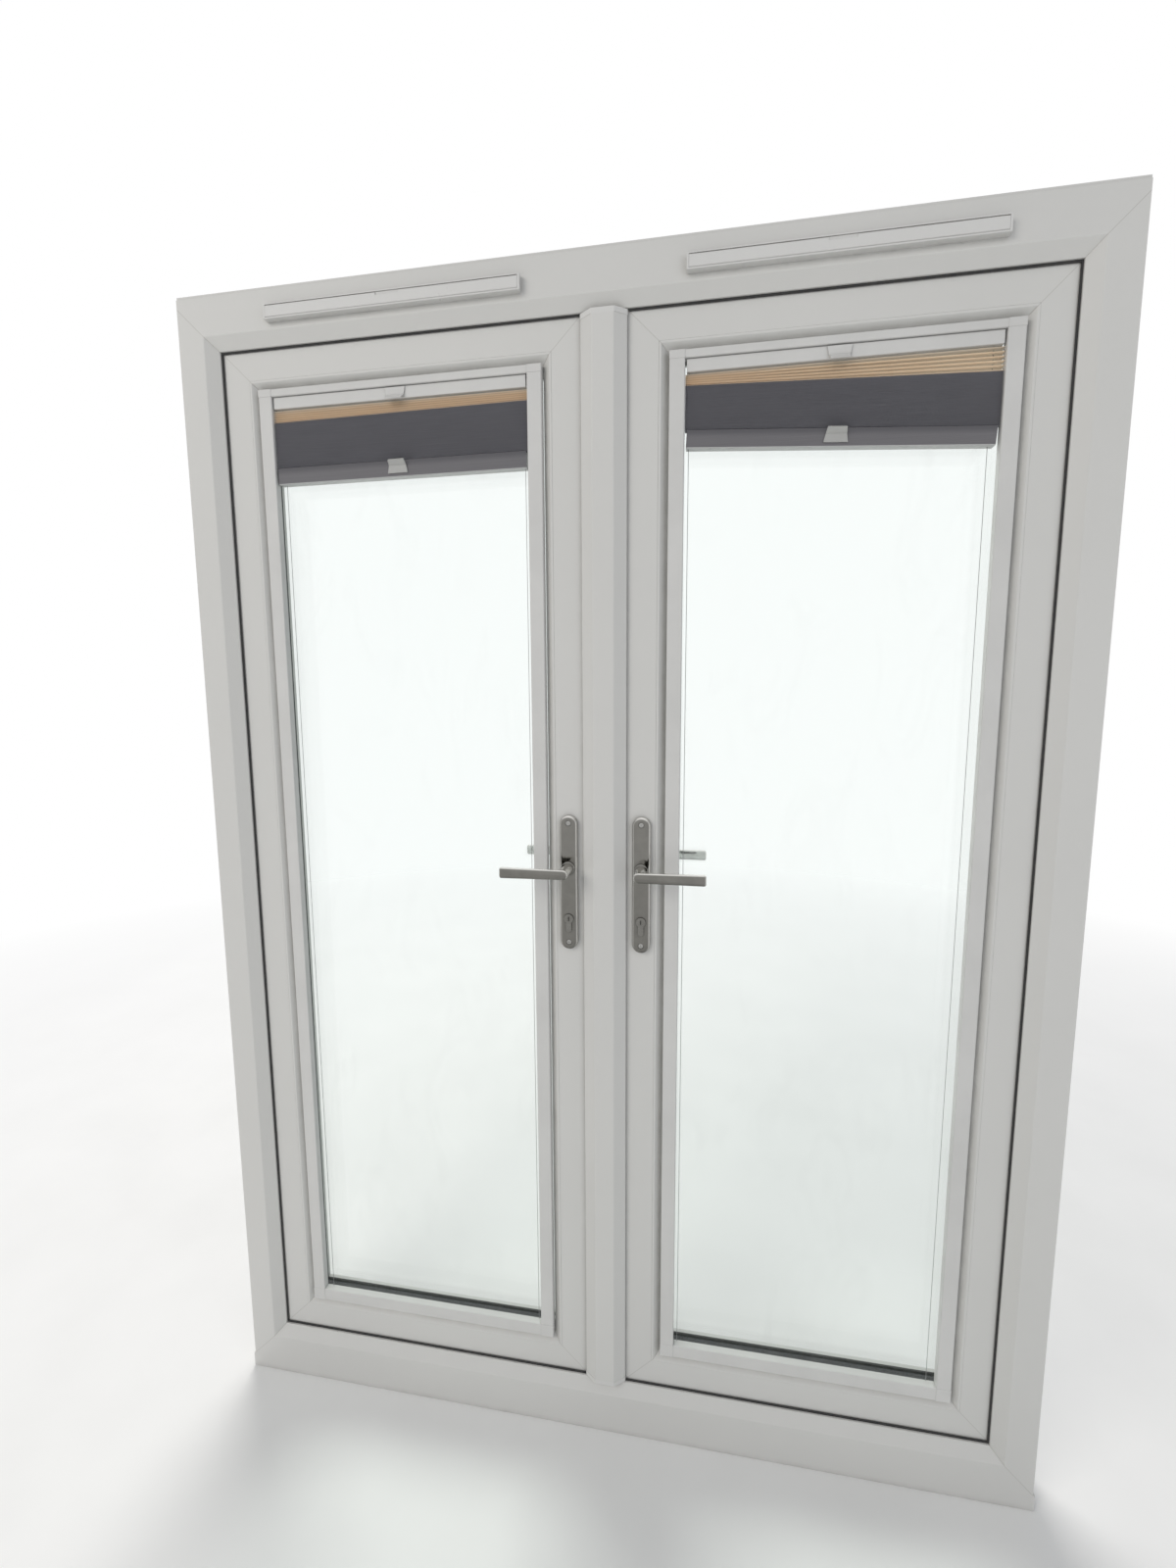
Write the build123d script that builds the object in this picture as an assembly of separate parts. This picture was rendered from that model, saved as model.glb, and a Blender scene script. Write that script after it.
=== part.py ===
# White french doors in their frame: two glazed leaves that open outdoors, a floating mullion on the
# left leaf, lever handles and lock gear, trickle vents, a cill, and a pleated blind on each leaf.
# Millimetres. X runs to the right and Y outdoors as seen from the room, Z runs up. The origin is
# under the middle of the cill, below the mid-plane of the leaves.
import os
from math import radians, tan

from build123d import *

os.makedirs("parts", exist_ok=True)

# Overall set
frame_width = 1500.0
frame_height = 2050.0
frame_depth = 70.0
cill_height = 30.0
extension_height = 20.0

# Frame section: the flange is the lip on the room side that the leaf closes against
frame_face = 68.0
rebate_width = 44.0
nose_width = 20.0
nose_depth = 14.0
seal_gap = 3.0

# Leaf section
leaf_depth = 70.0
leaf_setback = 20.0
leaf_lap = 12.0
edge_gap = 12.0
outer_lap = 8.0
stile_face = 50.0
bead_face = 16.0
glazing_step = 4.0
face_lip = 5.0

# Sealed glass unit
pane_thickness = 4.0
cavity = 20.0
glass_edge_cover = 14.0
spacer_height = 11.0
inner_pane_setback = 24.0
glass_seal = 3.0

# Floating mullion on the left leaf
mullion_width = 75.0
mullion_nose = 20.0
cap_length = 8.0
cap_gap = 2.0
running_gap = 0.3

# Hinges
hinge_offset_x = 36.0
hinge_offset_y = 10.0
hinge_pin_radius = 5.0
hinge_pin_clearance = 0.05
hinge_knuckle_radius = 9.0
hinge_knuckle_height = 31.0
hinge_half_height = 46.0
hinge_end_distance = 230.0
hinge_plate_thickness = 3.5

# Handles
spindle_offset = 38.5
spindle_height = 1011.0
spindle_width = 8.0
cylinder_drop = 92.0
plate_height = 242.0
plate_width = 32.0
plate_thickness = 10.0
plate_rise = 28.0
plate_screw_spacing = 215.0
lever_length = 111.0
lever_projection = 62.0
lever_bar_thickness = 9.0
lever_root_height = 15.0
lever_tip_height = 19.0
lever_neck_radius = 8.7
lever_bevel = 2.0
plate_bevel = 3.0
shaft_clearance = 0.1

# Lock gear
faceplate_width = 15.6
faceplate_thickness = 3.0
gear_line = -3.0
case_depth = 50.0
case_above = 75.0
case_below = 140.0
case_thickness = 15.4
pocket_clearance = 0.3
faceplate_end_distance = 142.0
bar_width = 9.0
bar_thickness = 4.2
bar_end_gap = 21.0
bar_tongue = 34.0
cam_radius = 4.0
cam_reach = 6.2
keep_thickness = 1.5
keep_lip = 8.3
cam_lift = 20.0
cam_drop = 17.5
cam_end_distances = (180.0, 540.0)
latch_length = 28.0
latch_height = 19.6
latch_width = 12.0
dead_bolt_height = 26.0
dead_bolt_drop = 50.0
bolt_throw = 28.0
bolt_retract = 24.5
shootbolt_radius = 4.0
shootbolt_inset = 10.5
keep_slack_x = 3.0
keep_slack_y = 1.5
keep_half_length = 30.0
keep_half_width = 11.0
rod_in_case = 38.0
strike_clearance = 1.0
strike_above = 25.0
strike_below = 30.0

# Pleated blinds
blind_rail_face = 24.8
blind_head_face = 12.8
blind_frame_front = 2.0
blind_frame_depth = 13.0
blind_side_gap = 2.6
clip_foot = 3.0
upper_rail_height = 19.5
bottom_rail_height = 28.0
right_blind_tilt = 3.3
open_pleats = 4
packed_pleats = 22
open_pleat_pitch = 6.5
packed_pleat_pitch = 3.3
pleat_depth = 14.0
fabric_fold = 2.4
fabric_gap = 0.3
tab_width = 36.0
tab_projection = 10.0

# Trickle vents in the head
vent_length = 446.0
vent_height = 24.0
vent_depth = 12.0
vent_rise = 30.0
vent_slot_height = 12.0
vent_slot_inset = 16.0
flap_thickness = 4.5
canopy_gap = 2.0

# Fixing holes through the jambs
fixing_radius = 5.0
fixing_count = 4
fixing_end_distance = 200.0

# Levels across the depth
leaf_room = -leaf_depth / 2
leaf_outer = leaf_depth / 2
flange_back = leaf_room - seal_gap
frame_room = leaf_room - leaf_setback
frame_outer = frame_room + frame_depth
leaf_flange_back = frame_outer + seal_gap
inner_pane_y = leaf_room + inner_pane_setback
cavity_y = inner_pane_y + pane_thickness
outer_pane_y = cavity_y + cavity
glass_outer_y = outer_pane_y + pane_thickness
bead_back = inner_pane_y - glass_seal
glazing_wall = glass_outer_y + glass_seal

# Levels across the width and up the height
frame_right = frame_width / 2
frame_bottom = cill_height
frame_top = cill_height + frame_height
sight_right = frame_right - frame_face
sight_low = frame_bottom + frame_face
sight_high = frame_top - frame_face
rebate_right = frame_right - rebate_width
rebate_low = frame_bottom + rebate_width
rebate_high = frame_top - rebate_width
sight_meeting = mullion_width / 2
leaf_edge = sight_meeting - leaf_lap
leaf_box = (sight_meeting, sight_right, sight_low, sight_high)
daylight = stile_face + bead_face
web_edge = leaf_edge - edge_gap
spindle_x = leaf_edge + spindle_offset
spindle_z = sight_low + spindle_height
cylinder_z = spindle_z - cylinder_drop
outer_flange_reach = leaf_lap + edge_gap + outer_lap


def block(x, y, z):
    """Box between the low and high values given for each axis."""
    middle = [(low + high) / 2 for low, high in (x, y, z)]
    return Pos(*middle) * Box(x[1] - x[0], y[1] - y[0], z[1] - z[0])


def rod_x(y, z, span, radius):
    return Pos((span[0] + span[1]) / 2, y, z) * Rot(0, 90, 0) * Cylinder(radius, span[1] - span[0])


def rod_y(x, z, span, radius):
    return Pos(x, (span[0] + span[1]) / 2, z) * Rot(90, 0, 0) * Cylinder(radius, span[1] - span[0])


def rod_z(x, y, span, radius):
    return Pos(x, y, (span[0] + span[1]) / 2) * Cylinder(radius, span[1] - span[0])


def section(points, rounds):
    """Closed outline with some corners rounded: rounds maps a point's index to its radius."""
    sketch = Sketch() + make_face(Polyline(*points, close=True))
    for index, radius in rounds.items():
        corner = sketch.vertices().sort_by_distance(Vector(*points[index], 0))[0]
        sketch = fillet(corner, radius)
    return sketch


def along_x(sketch, span):
    """Extrudes a sketch of (y, z) points along X."""
    return extrude(Plane(origin=(span[0], 0, 0), x_dir=(0, 1, 0), z_dir=(1, 0, 0)) * sketch,
                   amount=span[1] - span[0])


def along_y(sketch, span):
    """Extrudes a sketch of (x, z) points along Y."""
    return extrude(Plane(origin=(0, span[1], 0), x_dir=(1, 0, 0), z_dir=(0, -1, 0)) * sketch,
                   amount=span[1] - span[0])


def mitred_bars(sketch, box):
    """Four mitred bars round a rectangle: left, right, bottom, top.

    The sketch holds (inward distance from the rectangle, y) points.
    """
    x0, x1, z0, z1 = box
    reach = min(x1 - x0, z1 - z0) / 2 - 1
    reach = min(reach, frame_face * 2)
    outer, inner = [
        [(x0 - grow, z0 - grow), (x1 + grow, z0 - grow), (x1 + grow, z1 + grow), (x0 - grow, z1 + grow)]
        for grow in (reach, -reach)
    ]
    low_left, low_right, high_right, high_left = zip(outer, inner)
    sides = (
        ((x0, 0, z0 - reach), (1, 0, 0), (0, 0, 1), z1 - z0, [*low_left, *high_left[::-1]]),
        ((x1, 0, z1 + reach), (-1, 0, 0), (0, 0, -1), z1 - z0, [*low_right, *high_right[::-1]]),
        ((x1 + reach, 0, z0), (0, 0, 1), (-1, 0, 0), x1 - x0, [*low_left, *low_right[::-1]]),
        ((x0 - reach, 0, z1), (0, 0, -1), (1, 0, 0), x1 - x0, [*high_left, *high_right[::-1]]),
    )
    bars = []
    for origin, inward, direction, length, keep in sides:
        plane = Plane(origin=origin, x_dir=inward, z_dir=direction)
        bar = extrude(plane * sketch, amount=length + 2 * reach)
        mitre = along_y(make_face(Polyline(*keep, close=True)), (-frame_depth * 2, frame_depth * 2))
        bars.append(bar & mitre)
    return bars


def welded_ring(sketch, box):
    left, right, bottom, top = mitred_bars(sketch, box)
    return left + right + bottom + top


def in_lengths(bar, axis, stops):
    """The bar cut square at these levels of x or z, as lengths that butt together."""
    far = (-2 * frame_height, 2 * frame_height)
    ends = [far[0], *sorted(stops), far[1]]
    lengths = []
    for low, high in zip(ends, ends[1:]):
        keep = block((low, high), far, far) if axis == Axis.X else block(far, far, (low, high))
        lengths += (bar & keep).solids()
    return lengths


def save(name, *solids):
    shape = solids[0] if len(solids) == 1 else Compound(children=[Compound(s.solids()) for s in solids])
    export_step(shape, f"parts/{name}.step")


def both_sides(shape):
    """A right-hand piece with its mirror image on the left."""
    return [mirror(shape, about=Plane.YZ), shape]


def hinge_levels():
    low = sight_low + hinge_end_distance
    high = sight_high - hinge_end_distance
    return (low, (low + high) / 2, high)


def cam_levels():
    low = sight_low + faceplate_end_distance
    high = sight_high - faceplate_end_distance
    return [low + d for d in cam_end_distances] + [high - d for d in cam_end_distances]


def euro_profile(clearance):
    """Outline of a euro cylinder: a barrel with a narrower tail under it."""
    barrel_radius = 8.5
    tail_half = 5.0
    tail_drop = 19.5
    barrel = Pos(spindle_x, cylinder_z) * Circle(barrel_radius + clearance)
    tail = Pos(spindle_x, cylinder_z - tail_drop / 2) * Rectangle(2 * (tail_half + clearance), tail_drop)
    foot = Pos(spindle_x, cylinder_z - tail_drop) * Circle(tail_half + clearance)
    return barrel + tail + foot


# Outer frame, its head extension and cill

def make_frame():
    outline = [
        (0, frame_room), (frame_face - nose_width, frame_room), (frame_face, frame_room + nose_depth),
        (frame_face, flange_back), (rebate_width, flange_back), (rebate_width, frame_outer), (0, frame_outer),
    ]
    profile = section(outline, {1: 4, 2: 1.5, 5: 1.5})
    left, right, threshold, head = mitred_bars(profile, (-frame_right, frame_right, frame_bottom, frame_top))
    span = frame_height - 2 * fixing_end_distance
    for i in range(fixing_count):
        z = frame_bottom + fixing_end_distance + span * i / (fixing_count - 1)
        fixing = rod_x((frame_outer + flange_back) / 2, z, (rebate_right - 1, frame_right + 1), fixing_radius)
        right -= fixing
        left -= mirror(fixing, about=Plane.YZ)
    pocket = bolt_throw - edge_gap + 4
    head -= both_sides(vent_slot()) + [shootbolt_slot((rebate_high - 1, rebate_high + pocket))]
    threshold -= both_sides(drain_slot()) + [shootbolt_slot((rebate_low - pocket, rebate_low + 1))]
    bolt_x = -leaf_edge - shootbolt_inset
    half = shootbolt_radius + keep_slack_x
    vent_ends = [vent_x0 + vent_slot_inset, vent_x0 + vent_length - vent_slot_inset]
    vent_ends += [-x for x in vent_ends]
    lengths = []
    for bar, stops, floor in ((threshold, [], rebate_low - pocket), (head, vent_ends, rebate_high + pocket)):
        for length in in_lengths(bar, Axis.X, [bolt_x - half, bolt_x + half, *stops]):
            at_bolt = abs(length.center().X - bolt_x) < half
            lengths += in_lengths(length, Axis.Z, [floor]) if at_bolt else [length]
    return [left, right, *lengths]


def shootbolt_slot(span):
    """Routed slot that a shootbolt rises or drops into, with its long side along the frame."""
    x = -leaf_edge - shootbolt_inset
    half_x = shootbolt_radius + keep_slack_x
    half_y = shootbolt_radius + keep_slack_y
    return block((x - half_x, x + half_x), (gear_line - half_y, gear_line + half_y), span)


def drain_slot():
    """Water runs out of the rebate and down through the outer face, behind a cover."""
    x = frame_right * 0.6
    floor = rebate_low - 8
    out = block((x - 12, x + 12), (frame_outer - 12, frame_outer + 1), (floor - 18, floor - 12))
    down = block((x - 12, x + 12), (frame_outer - 12, frame_outer - 6), (floor - 18, rebate_low + 1))
    return out + down


def make_drain_cover():
    x = frame_right * 0.6
    top = rebate_low - 12
    front = frame_outer + 5
    outline = [(frame_outer, top), (frame_outer, top - 20), (front, top - 20), (front, top - 6)]
    cover = along_x(section(outline, {3: 2}), (x - 18, x + 18))
    mouth = block((x - 14, x + 14), (frame_outer - 1, frame_outer + 3.5), (top - 21, top - 5))
    return cover - mouth


def make_extension():
    groove = 2.0
    half = frame_depth / 2
    middle = frame_room + half
    outline = [
        (middle - half, frame_top), (middle + half, frame_top),
        (middle + half, frame_top + extension_height - 5),
        (middle + half - groove, frame_top + extension_height - 4),
        (middle + half - groove, frame_top + extension_height),
        (middle - half + groove, frame_top + extension_height),
        (middle - half + groove, frame_top + extension_height - 4),
        (middle - half, frame_top + extension_height - 5),
    ]
    return along_x(section(outline, {}), (-frame_right, frame_right))


cill_nose = 95.0


def cill_section():
    top = cill_height
    outline = [
        (frame_room, 0), (cill_nose - 17, 0), (cill_nose - 17, 5), (cill_nose - 8, 5), (cill_nose - 8, 0),
        (cill_nose, 0), (cill_nose, top - 17), (cill_nose - 4, top - 13), (frame_outer + 6, top - 4),
        (frame_outer + 2, top), (frame_room, top),
    ]
    return section(outline, {6: 2, 7: 2})


def make_cill():
    return along_x(cill_section(), (-frame_right, frame_right))


def make_cill_cap():
    return along_x(cill_section(), (frame_right, frame_right + 3))


def make_frame_gasket():
    inner = frame_face - 2
    outer = frame_face - 10
    outline = [(outer, flange_back), (inner, flange_back), (inner - 1.5, leaf_room - running_gap),
               (outer + 2, leaf_room - running_gap)]
    return welded_ring(section(outline, {}), (-frame_right, frame_right, frame_bottom, frame_top))


# Trickle vents

vent_x0 = sight_meeting + stile_face + bead_face + blind_rail_face + 1.7
vent_z0 = sight_high + vent_rise
vent_front = frame_room - vent_depth
flap_front = vent_front
flap_pivot_z = vent_z0 + 5.3
flap_pivot_y = flap_front + flap_thickness / 2


def vent_slot():
    middle = vent_z0 + vent_height / 2
    return block((vent_x0 + vent_slot_inset, vent_x0 + vent_length - vent_slot_inset),
                 (frame_room - 1, frame_outer + 1),
                 (middle - vent_slot_height / 2, middle + vent_slot_height / 2))


def make_vent_body():
    x1 = vent_x0 + vent_length
    body = block((vent_x0, x1), (vent_front, frame_room), (vent_z0, vent_z0 + vent_height))
    body = fillet(body.edges().filter_by(Axis.X).group_by(Axis.Y)[0], 1.0)
    recess = block((vent_x0 + 3, x1 - 3), (vent_front - 1, vent_front + flap_thickness + 1),
                   (vent_z0 + 2, vent_z0 + vent_height - 2))
    middle = vent_z0 + vent_height / 2
    windows = []
    window_count = 9
    pitch = (vent_length - 32) / window_count
    for i in range(window_count):
        x = vent_x0 + 16 + pitch * i
        windows.append(block((x + 2.5, x + pitch - 2.5), (vent_front - 1, frame_room + 1),
                             (middle - vent_slot_height / 2, middle + vent_slot_height / 2)))
    pivots = rod_x(flap_pivot_y, flap_pivot_z, (vent_x0 + 0.8, x1 - 0.8), 1.2 + shaft_clearance)
    return body - recess - windows - pivots


def make_vent_flap():
    x0 = vent_x0 + 3 + running_gap
    x1 = vent_x0 + vent_length - 3 - running_gap
    low = vent_z0 + 2.5
    high = vent_z0 + vent_height - 2.5
    back = flap_front + flap_thickness
    outline = [(flap_front, low + 1.2), (flap_front + 1.2, low), (back - 1.5, low), (back, low + 1.5),
               (back, high), (flap_front + 1.4, high), (flap_front, high - 1.4)]
    flap = along_x(section(outline, {}), (x0, x1))
    middle = (x0 + x1) / 2
    grip = block((middle - 20, middle + 20), (flap_front - 1, flap_front + 1.4), (high - 5, high + 1))
    pins = rod_x(flap_pivot_y, flap_pivot_z, (vent_x0 + 1, vent_x0 + vent_length - 1), 1.2)
    return flap - grip + pins


def make_vent_canopy():
    x1 = vent_x0 + vent_length
    z0 = sight_high + outer_flange_reach + canopy_gap
    z1 = vent_z0 + vent_height + 4
    out = frame_outer + 14
    outline = [(frame_outer, z0), (frame_outer, z1), (out - 5, z1 - 3), (out, z1 - 9), (out, z0)]
    hollow = [(frame_outer - 1, z0 - 1), (frame_outer - 1, z1 - 4), (out - 6, z1 - 6), (out - 2, z1 - 10),
              (out - 2, z0 - 1)]
    canopy = along_x(section(outline, {2: 2, 3: 2}), (vent_x0, x1))
    return canopy - along_x(section(hollow, {}), (vent_x0 + 2, x1 - 2))


# Hinges

hinge_x = sight_right + hinge_offset_x
hinge_y = leaf_outer + hinge_offset_y


def make_frame_hinge(z):
    """Frame half: two knuckles on arms that stand on a face-fixed plate."""
    inner_x = hinge_x + 1
    half = hinge_half_height
    gap = hinge_knuckle_height / 2 + 0.5
    plate = block((inner_x, frame_right - 3), (frame_outer, frame_outer + 4), (z - half, z + half))
    hinge = fillet(plate.edges().filter_by(Axis.Y), 2.0)
    for low, high in ((z - half, z - gap), (z + gap, z + half)):
        hinge += block((inner_x, inner_x + 8), (frame_outer, hinge_y), (low, high))
        hinge += rod_z(hinge_x, hinge_y, (low, high), hinge_knuckle_radius)
    return hinge - rod_z(hinge_x, hinge_y, (z - half - 1, z + half + 1), hinge_pin_radius)


def make_hinge_pin(z):
    half = hinge_half_height
    pin = rod_z(hinge_x, hinge_y, (z - half, z + half), hinge_pin_radius)
    cap_radius = hinge_knuckle_radius - 0.5
    for level in ((z - half - 3, z - half), (z + half, z + half + 3)):
        pin += rod_z(hinge_x, hinge_y, level, cap_radius)
    return pin


def make_leaf_hinge(z):
    """Leaf half: a flag with one knuckle, on a plate that is screwed to the leaf's outer face."""
    half = hinge_knuckle_height / 2
    plate = block((hinge_x - 70, hinge_x - 18), (leaf_outer, leaf_outer + hinge_plate_thickness),
                  (z - 40, z + 40))
    hinge = fillet(plate.edges().filter_by(Axis.Y), 4.0)
    hinge += block((hinge_x - 24, hinge_x), (leaf_outer + 1, hinge_y - 2), (z - half, z + half))
    hinge += block((hinge_x - 24, hinge_x - 18), (leaf_outer, leaf_outer + 2), (z - half, z + half))
    hinge += rod_z(hinge_x, hinge_y, (z - half, z + half), hinge_knuckle_radius)
    bore = hinge_pin_radius + hinge_pin_clearance
    return hinge - rod_z(hinge_x, hinge_y, (z - half - 1, z + half + 1), bore)


# Leaf: the sash with its glazing

def make_sash(master):
    out = -outer_flange_reach
    outline = [
        (-leaf_lap, leaf_room), (stile_face, leaf_room), (stile_face, leaf_room + face_lip),
        (stile_face - glazing_step, leaf_room + face_lip), (stile_face - glazing_step, glazing_wall),
        (daylight, glazing_wall), (daylight, glazing_wall + 7), (daylight - 10, leaf_outer),
        (out, leaf_outer), (out, leaf_flange_back), (-leaf_lap, leaf_flange_back),
    ]
    bars = mitred_bars(section(outline, {0: 1.5, 1: 1, 6: 2, 7: 2, 8: 3, 9: 1}), leaf_box)
    depth = (leaf_room - 1, leaf_outer + 1)
    half = case_thickness / 2 + pocket_clearance
    case_top = spindle_z + case_above
    case_bottom = spindle_z - case_below
    cuts = [
        rod_y(spindle_x, spindle_z, depth, spindle_width * 0.85),
        along_y(euro_profile(pocket_clearance), depth),
        block((leaf_edge - 1, leaf_edge + faceplate_thickness + case_depth + pocket_clearance),
              (gear_line - half, gear_line + half),
              (case_bottom - pocket_clearance, case_top + pocket_clearance)),
    ]
    low, high = faceplate_span(master)
    groove = faceplate_width / 2 + 0.2
    cuts.append(block((leaf_edge - 1, leaf_edge + faceplate_thickness),
                      (gear_line - groove, gear_line + groove),
                      (low - pocket_clearance, high + pocket_clearance)))
    bores = []
    if master:
        channel = bar_width / 2 + 0.5
        cuts.append(block((leaf_edge, leaf_edge + faceplate_thickness + bar_thickness + 0.6),
                          (gear_line - channel, gear_line + channel), (low, high)))
    else:
        bore = shootbolt_radius + pocket_clearance
        x = leaf_edge + shootbolt_inset
        bores.append(rod_z(x, gear_line, (case_top, sight_high + leaf_lap + 1), bore))
        bores.append(rod_z(x, gear_line, (sight_low - leaf_lap - 1, case_bottom), bore))
    for sign in (-1, 1):
        screw_z = plate_middle() + sign * plate_screw_spacing / 2
        cuts.append(rod_y(spindle_x, screw_z, depth, 3.0))
    stile, *others = bars
    return [stile - cuts - bores, *[bar - bores for bar in others]] if bores else [stile - cuts, *others]


def faceplate_span(master):
    if master:
        return sight_low + faceplate_end_distance, sight_high - faceplate_end_distance
    return spindle_z - case_below - 30, spindle_z + case_above + 30


def make_beads():
    outline = [
        (stile_face - glazing_step, leaf_room + face_lip), (stile_face, leaf_room + face_lip),
        (stile_face, leaf_room), (stile_face + 3, leaf_room), (daylight, bead_back - 8),
        (daylight, bead_back), (stile_face - glazing_step, bead_back),
    ]
    return mitred_bars(section(outline, {3: 2, 4: 2}), leaf_box)


def pane(y):
    x0, x1, z0, z1 = leaf_box
    edge = daylight - glass_edge_cover
    return block((x0 + edge, x1 - edge), (y, y + pane_thickness), (z0 + edge, z1 - edge))


def make_spacer():
    edge = daylight - glass_edge_cover
    outline = [(edge, cavity_y), (edge + spacer_height, cavity_y), (edge + spacer_height, outer_pane_y),
               (edge, outer_pane_y)]
    return welded_ring(section(outline, {}), leaf_box)


def make_leaf_gaskets():
    inner = [(daylight - 6, bead_back), (daylight, bead_back), (daylight - 0.5, inner_pane_y),
             (daylight - 6, inner_pane_y)]
    outer = [(daylight - 8, glass_outer_y), (daylight - 0.5, glass_outer_y), (daylight, glazing_wall),
             (daylight - 8, glazing_wall)]
    reach = outer_flange_reach
    weather = [(1 - reach, leaf_flange_back), (6 - reach, leaf_flange_back),
               (5 - reach, frame_outer + running_gap), (2 - reach, frame_outer + running_gap)]
    return [welded_ring(section(points, {}), leaf_box) for points in (inner, outer, weather)]


def make_packers():
    x0, x1, z0, z1 = leaf_box
    floor = stile_face - glazing_step
    edge = daylight - glass_edge_cover
    length = 100.0
    inset = 110.0
    depth = (inner_pane_y, glass_outer_y)
    packers = []
    for x in (x0 + edge + inset, x1 - edge - inset):
        for z in ((z0 + floor, z0 + edge), (z1 - edge, z1 - floor)):
            packers.append(block((x - length / 2, x + length / 2), depth, z))
    for z in (z0 + edge + inset, z1 - edge - inset):
        for x in ((x0 + floor, x0 + edge), (x1 - edge, x1 - floor)):
            packers.append(block(x, depth, (z - length / 2, z + length / 2)))
    return packers


# Handles

def plate_middle():
    return spindle_z - plate_rise


def make_room_plate():
    front = leaf_room - plate_thickness
    outline = Pos(spindle_x, plate_middle()) * SlotOverall(plate_height, plate_width, rotation=90)
    plate = along_y(outline, (front, leaf_room))
    plate = chamfer(plate.faces().sort_by(Axis.Y)[0].edges(), plate_bevel)
    depth = (front - 1, leaf_room + 1)
    cuts = [rod_y(spindle_x, spindle_z, depth, lever_neck_radius + shaft_clearance),
            along_y(euro_profile(pocket_clearance), depth)]
    for sign in (-1, 1):
        z = plate_middle() + sign * plate_screw_spacing / 2
        cuts.append(rod_y(spindle_x, z, depth, 3.0))
        cuts.append(rod_y(spindle_x, z, (front - 1, front + 4), 5.0))
    return plate - cuts


def make_room_lever():
    """Round neck out of the plate, then a flat grip that widens a little to its tip."""
    front = leaf_room - lever_projection
    back = front + lever_bar_thickness
    root = lever_root_height / 2
    tip = lever_tip_height / 2
    outline = [(0, -root), (lever_length, -tip), (lever_length, tip), (0, root)]
    grip_face = section(outline, {1: 3, 2: 3}) + Circle(root + 1)
    grip = along_y(Pos(spindle_x, spindle_z) * grip_face, (front, back))
    grip = chamfer(grip.edges().group_by(Axis.Y)[0] + grip.edges().group_by(Axis.Y)[-1], lever_bevel)
    neck = rod_y(spindle_x, spindle_z, (back - 3, leaf_room - 2), lever_neck_radius)
    collar_front = leaf_room - plate_thickness - 4
    collar = (collar_front, leaf_room - plate_thickness - 0.2)
    neck += rod_y(spindle_x, spindle_z, collar, lever_neck_radius + 2.8)
    half = spindle_width / 2
    socket = block((spindle_x - half, spindle_x + half), (leaf_room - lever_projection * 0.6, leaf_room),
                   (spindle_z - half, spindle_z + half))
    return grip + neck - socket


def make_spindle():
    half = spindle_width / 2
    end = -(leaf_room - lever_projection * 0.6)
    bar = block((spindle_x - half, spindle_x + half), (-end, end), (spindle_z - half, spindle_z + half))
    hub_half = case_thickness / 2 - 1
    hub = rod_y(spindle_x, spindle_z, (gear_line - hub_half, gear_line + hub_half), 9.2)
    hub -= block((spindle_x - half, spindle_x + half), (-end, end), (spindle_z - half, spindle_z + half))
    return [bar, hub]


def make_cylinder():
    reach = leaf_depth / 2 + plate_thickness + 2
    body = along_y(euro_profile(0), (-reach, reach))
    keyway = block((spindle_x - 0.8, spindle_x + 0.8), (-reach - 1, -reach + 9),
                   (cylinder_z - 4, cylinder_z + 4))
    return body - keyway - mirror(keyway, about=Plane.XZ)


# Lock gear

def make_lock_case(master):
    half = case_thickness / 2
    top = spindle_z + case_above
    bottom = spindle_z - case_below
    back = leaf_edge + faceplate_thickness
    case = block((back, back + case_depth), (gear_line - half, gear_line + half), (bottom, top))
    low, high = faceplate_span(master)
    width = faceplate_width / 2
    case += block((leaf_edge, back), (gear_line - width, gear_line + width), (low, high))
    depth = (gear_line - half - 1, gear_line + half + 1)
    case -= rod_y(spindle_x, spindle_z, depth, 9.3)
    case -= along_y(euro_profile(pocket_clearance), depth)
    if master:
        tongue = bar_width / 2 - 1.5 + 0.2
        slot_x = (back + 0.1, back + 0.3 + bar_thickness + 0.2)
        slot_depth = bar_tongue + cam_drop + 8
        slot_low = bottom + bar_tongue + cam_lift + 6
        case -= block(slot_x, (gear_line - tongue, gear_line + tongue), (top - slot_depth, top + 1))
        case -= block(slot_x, (gear_line - tongue, gear_line + tongue), (bottom - 1, slot_low))
        for z in cam_levels():
            case -= block((leaf_edge - 1, back + 0.05),
                          (gear_line - cam_radius - 0.4, gear_line + cam_radius + 0.4),
                          (z - cam_drop - cam_radius - 1, z + cam_lift + cam_radius + 1))
        for bolt in (make_latch(0.2), make_dead_bolt(0.2)):
            case -= bolt
    else:
        x = leaf_edge + shootbolt_inset
        bore = shootbolt_radius + pocket_clearance
        room = rod_in_case + bolt_retract + 5
        case -= rod_z(x, gear_line, (top - room, top + 1), bore)
        case -= rod_z(x, gear_line, (bottom - 1, bottom + room), bore)
    return case


def make_latch(clearance):
    """Bevelled latch, stored drawn back flush with the faceplate."""
    front = leaf_edge + 0.3
    half_y = latch_width / 2 + clearance
    half_z = latch_height / 2 + clearance
    if clearance:
        return block((leaf_edge - 1, front + latch_length), (gear_line - half_y, gear_line + half_y),
                     (spindle_z - half_z, spindle_z + half_z))
    latch = block((front, front + latch_length), (gear_line - half_y, gear_line + half_y),
                  (spindle_z - half_z, spindle_z + half_z))
    nose = latch.edges().filter_by(Axis.Z).group_by(Axis.X)[0].sort_by(Axis.Y)[0]
    return chamfer(nose, 8.0)


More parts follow.
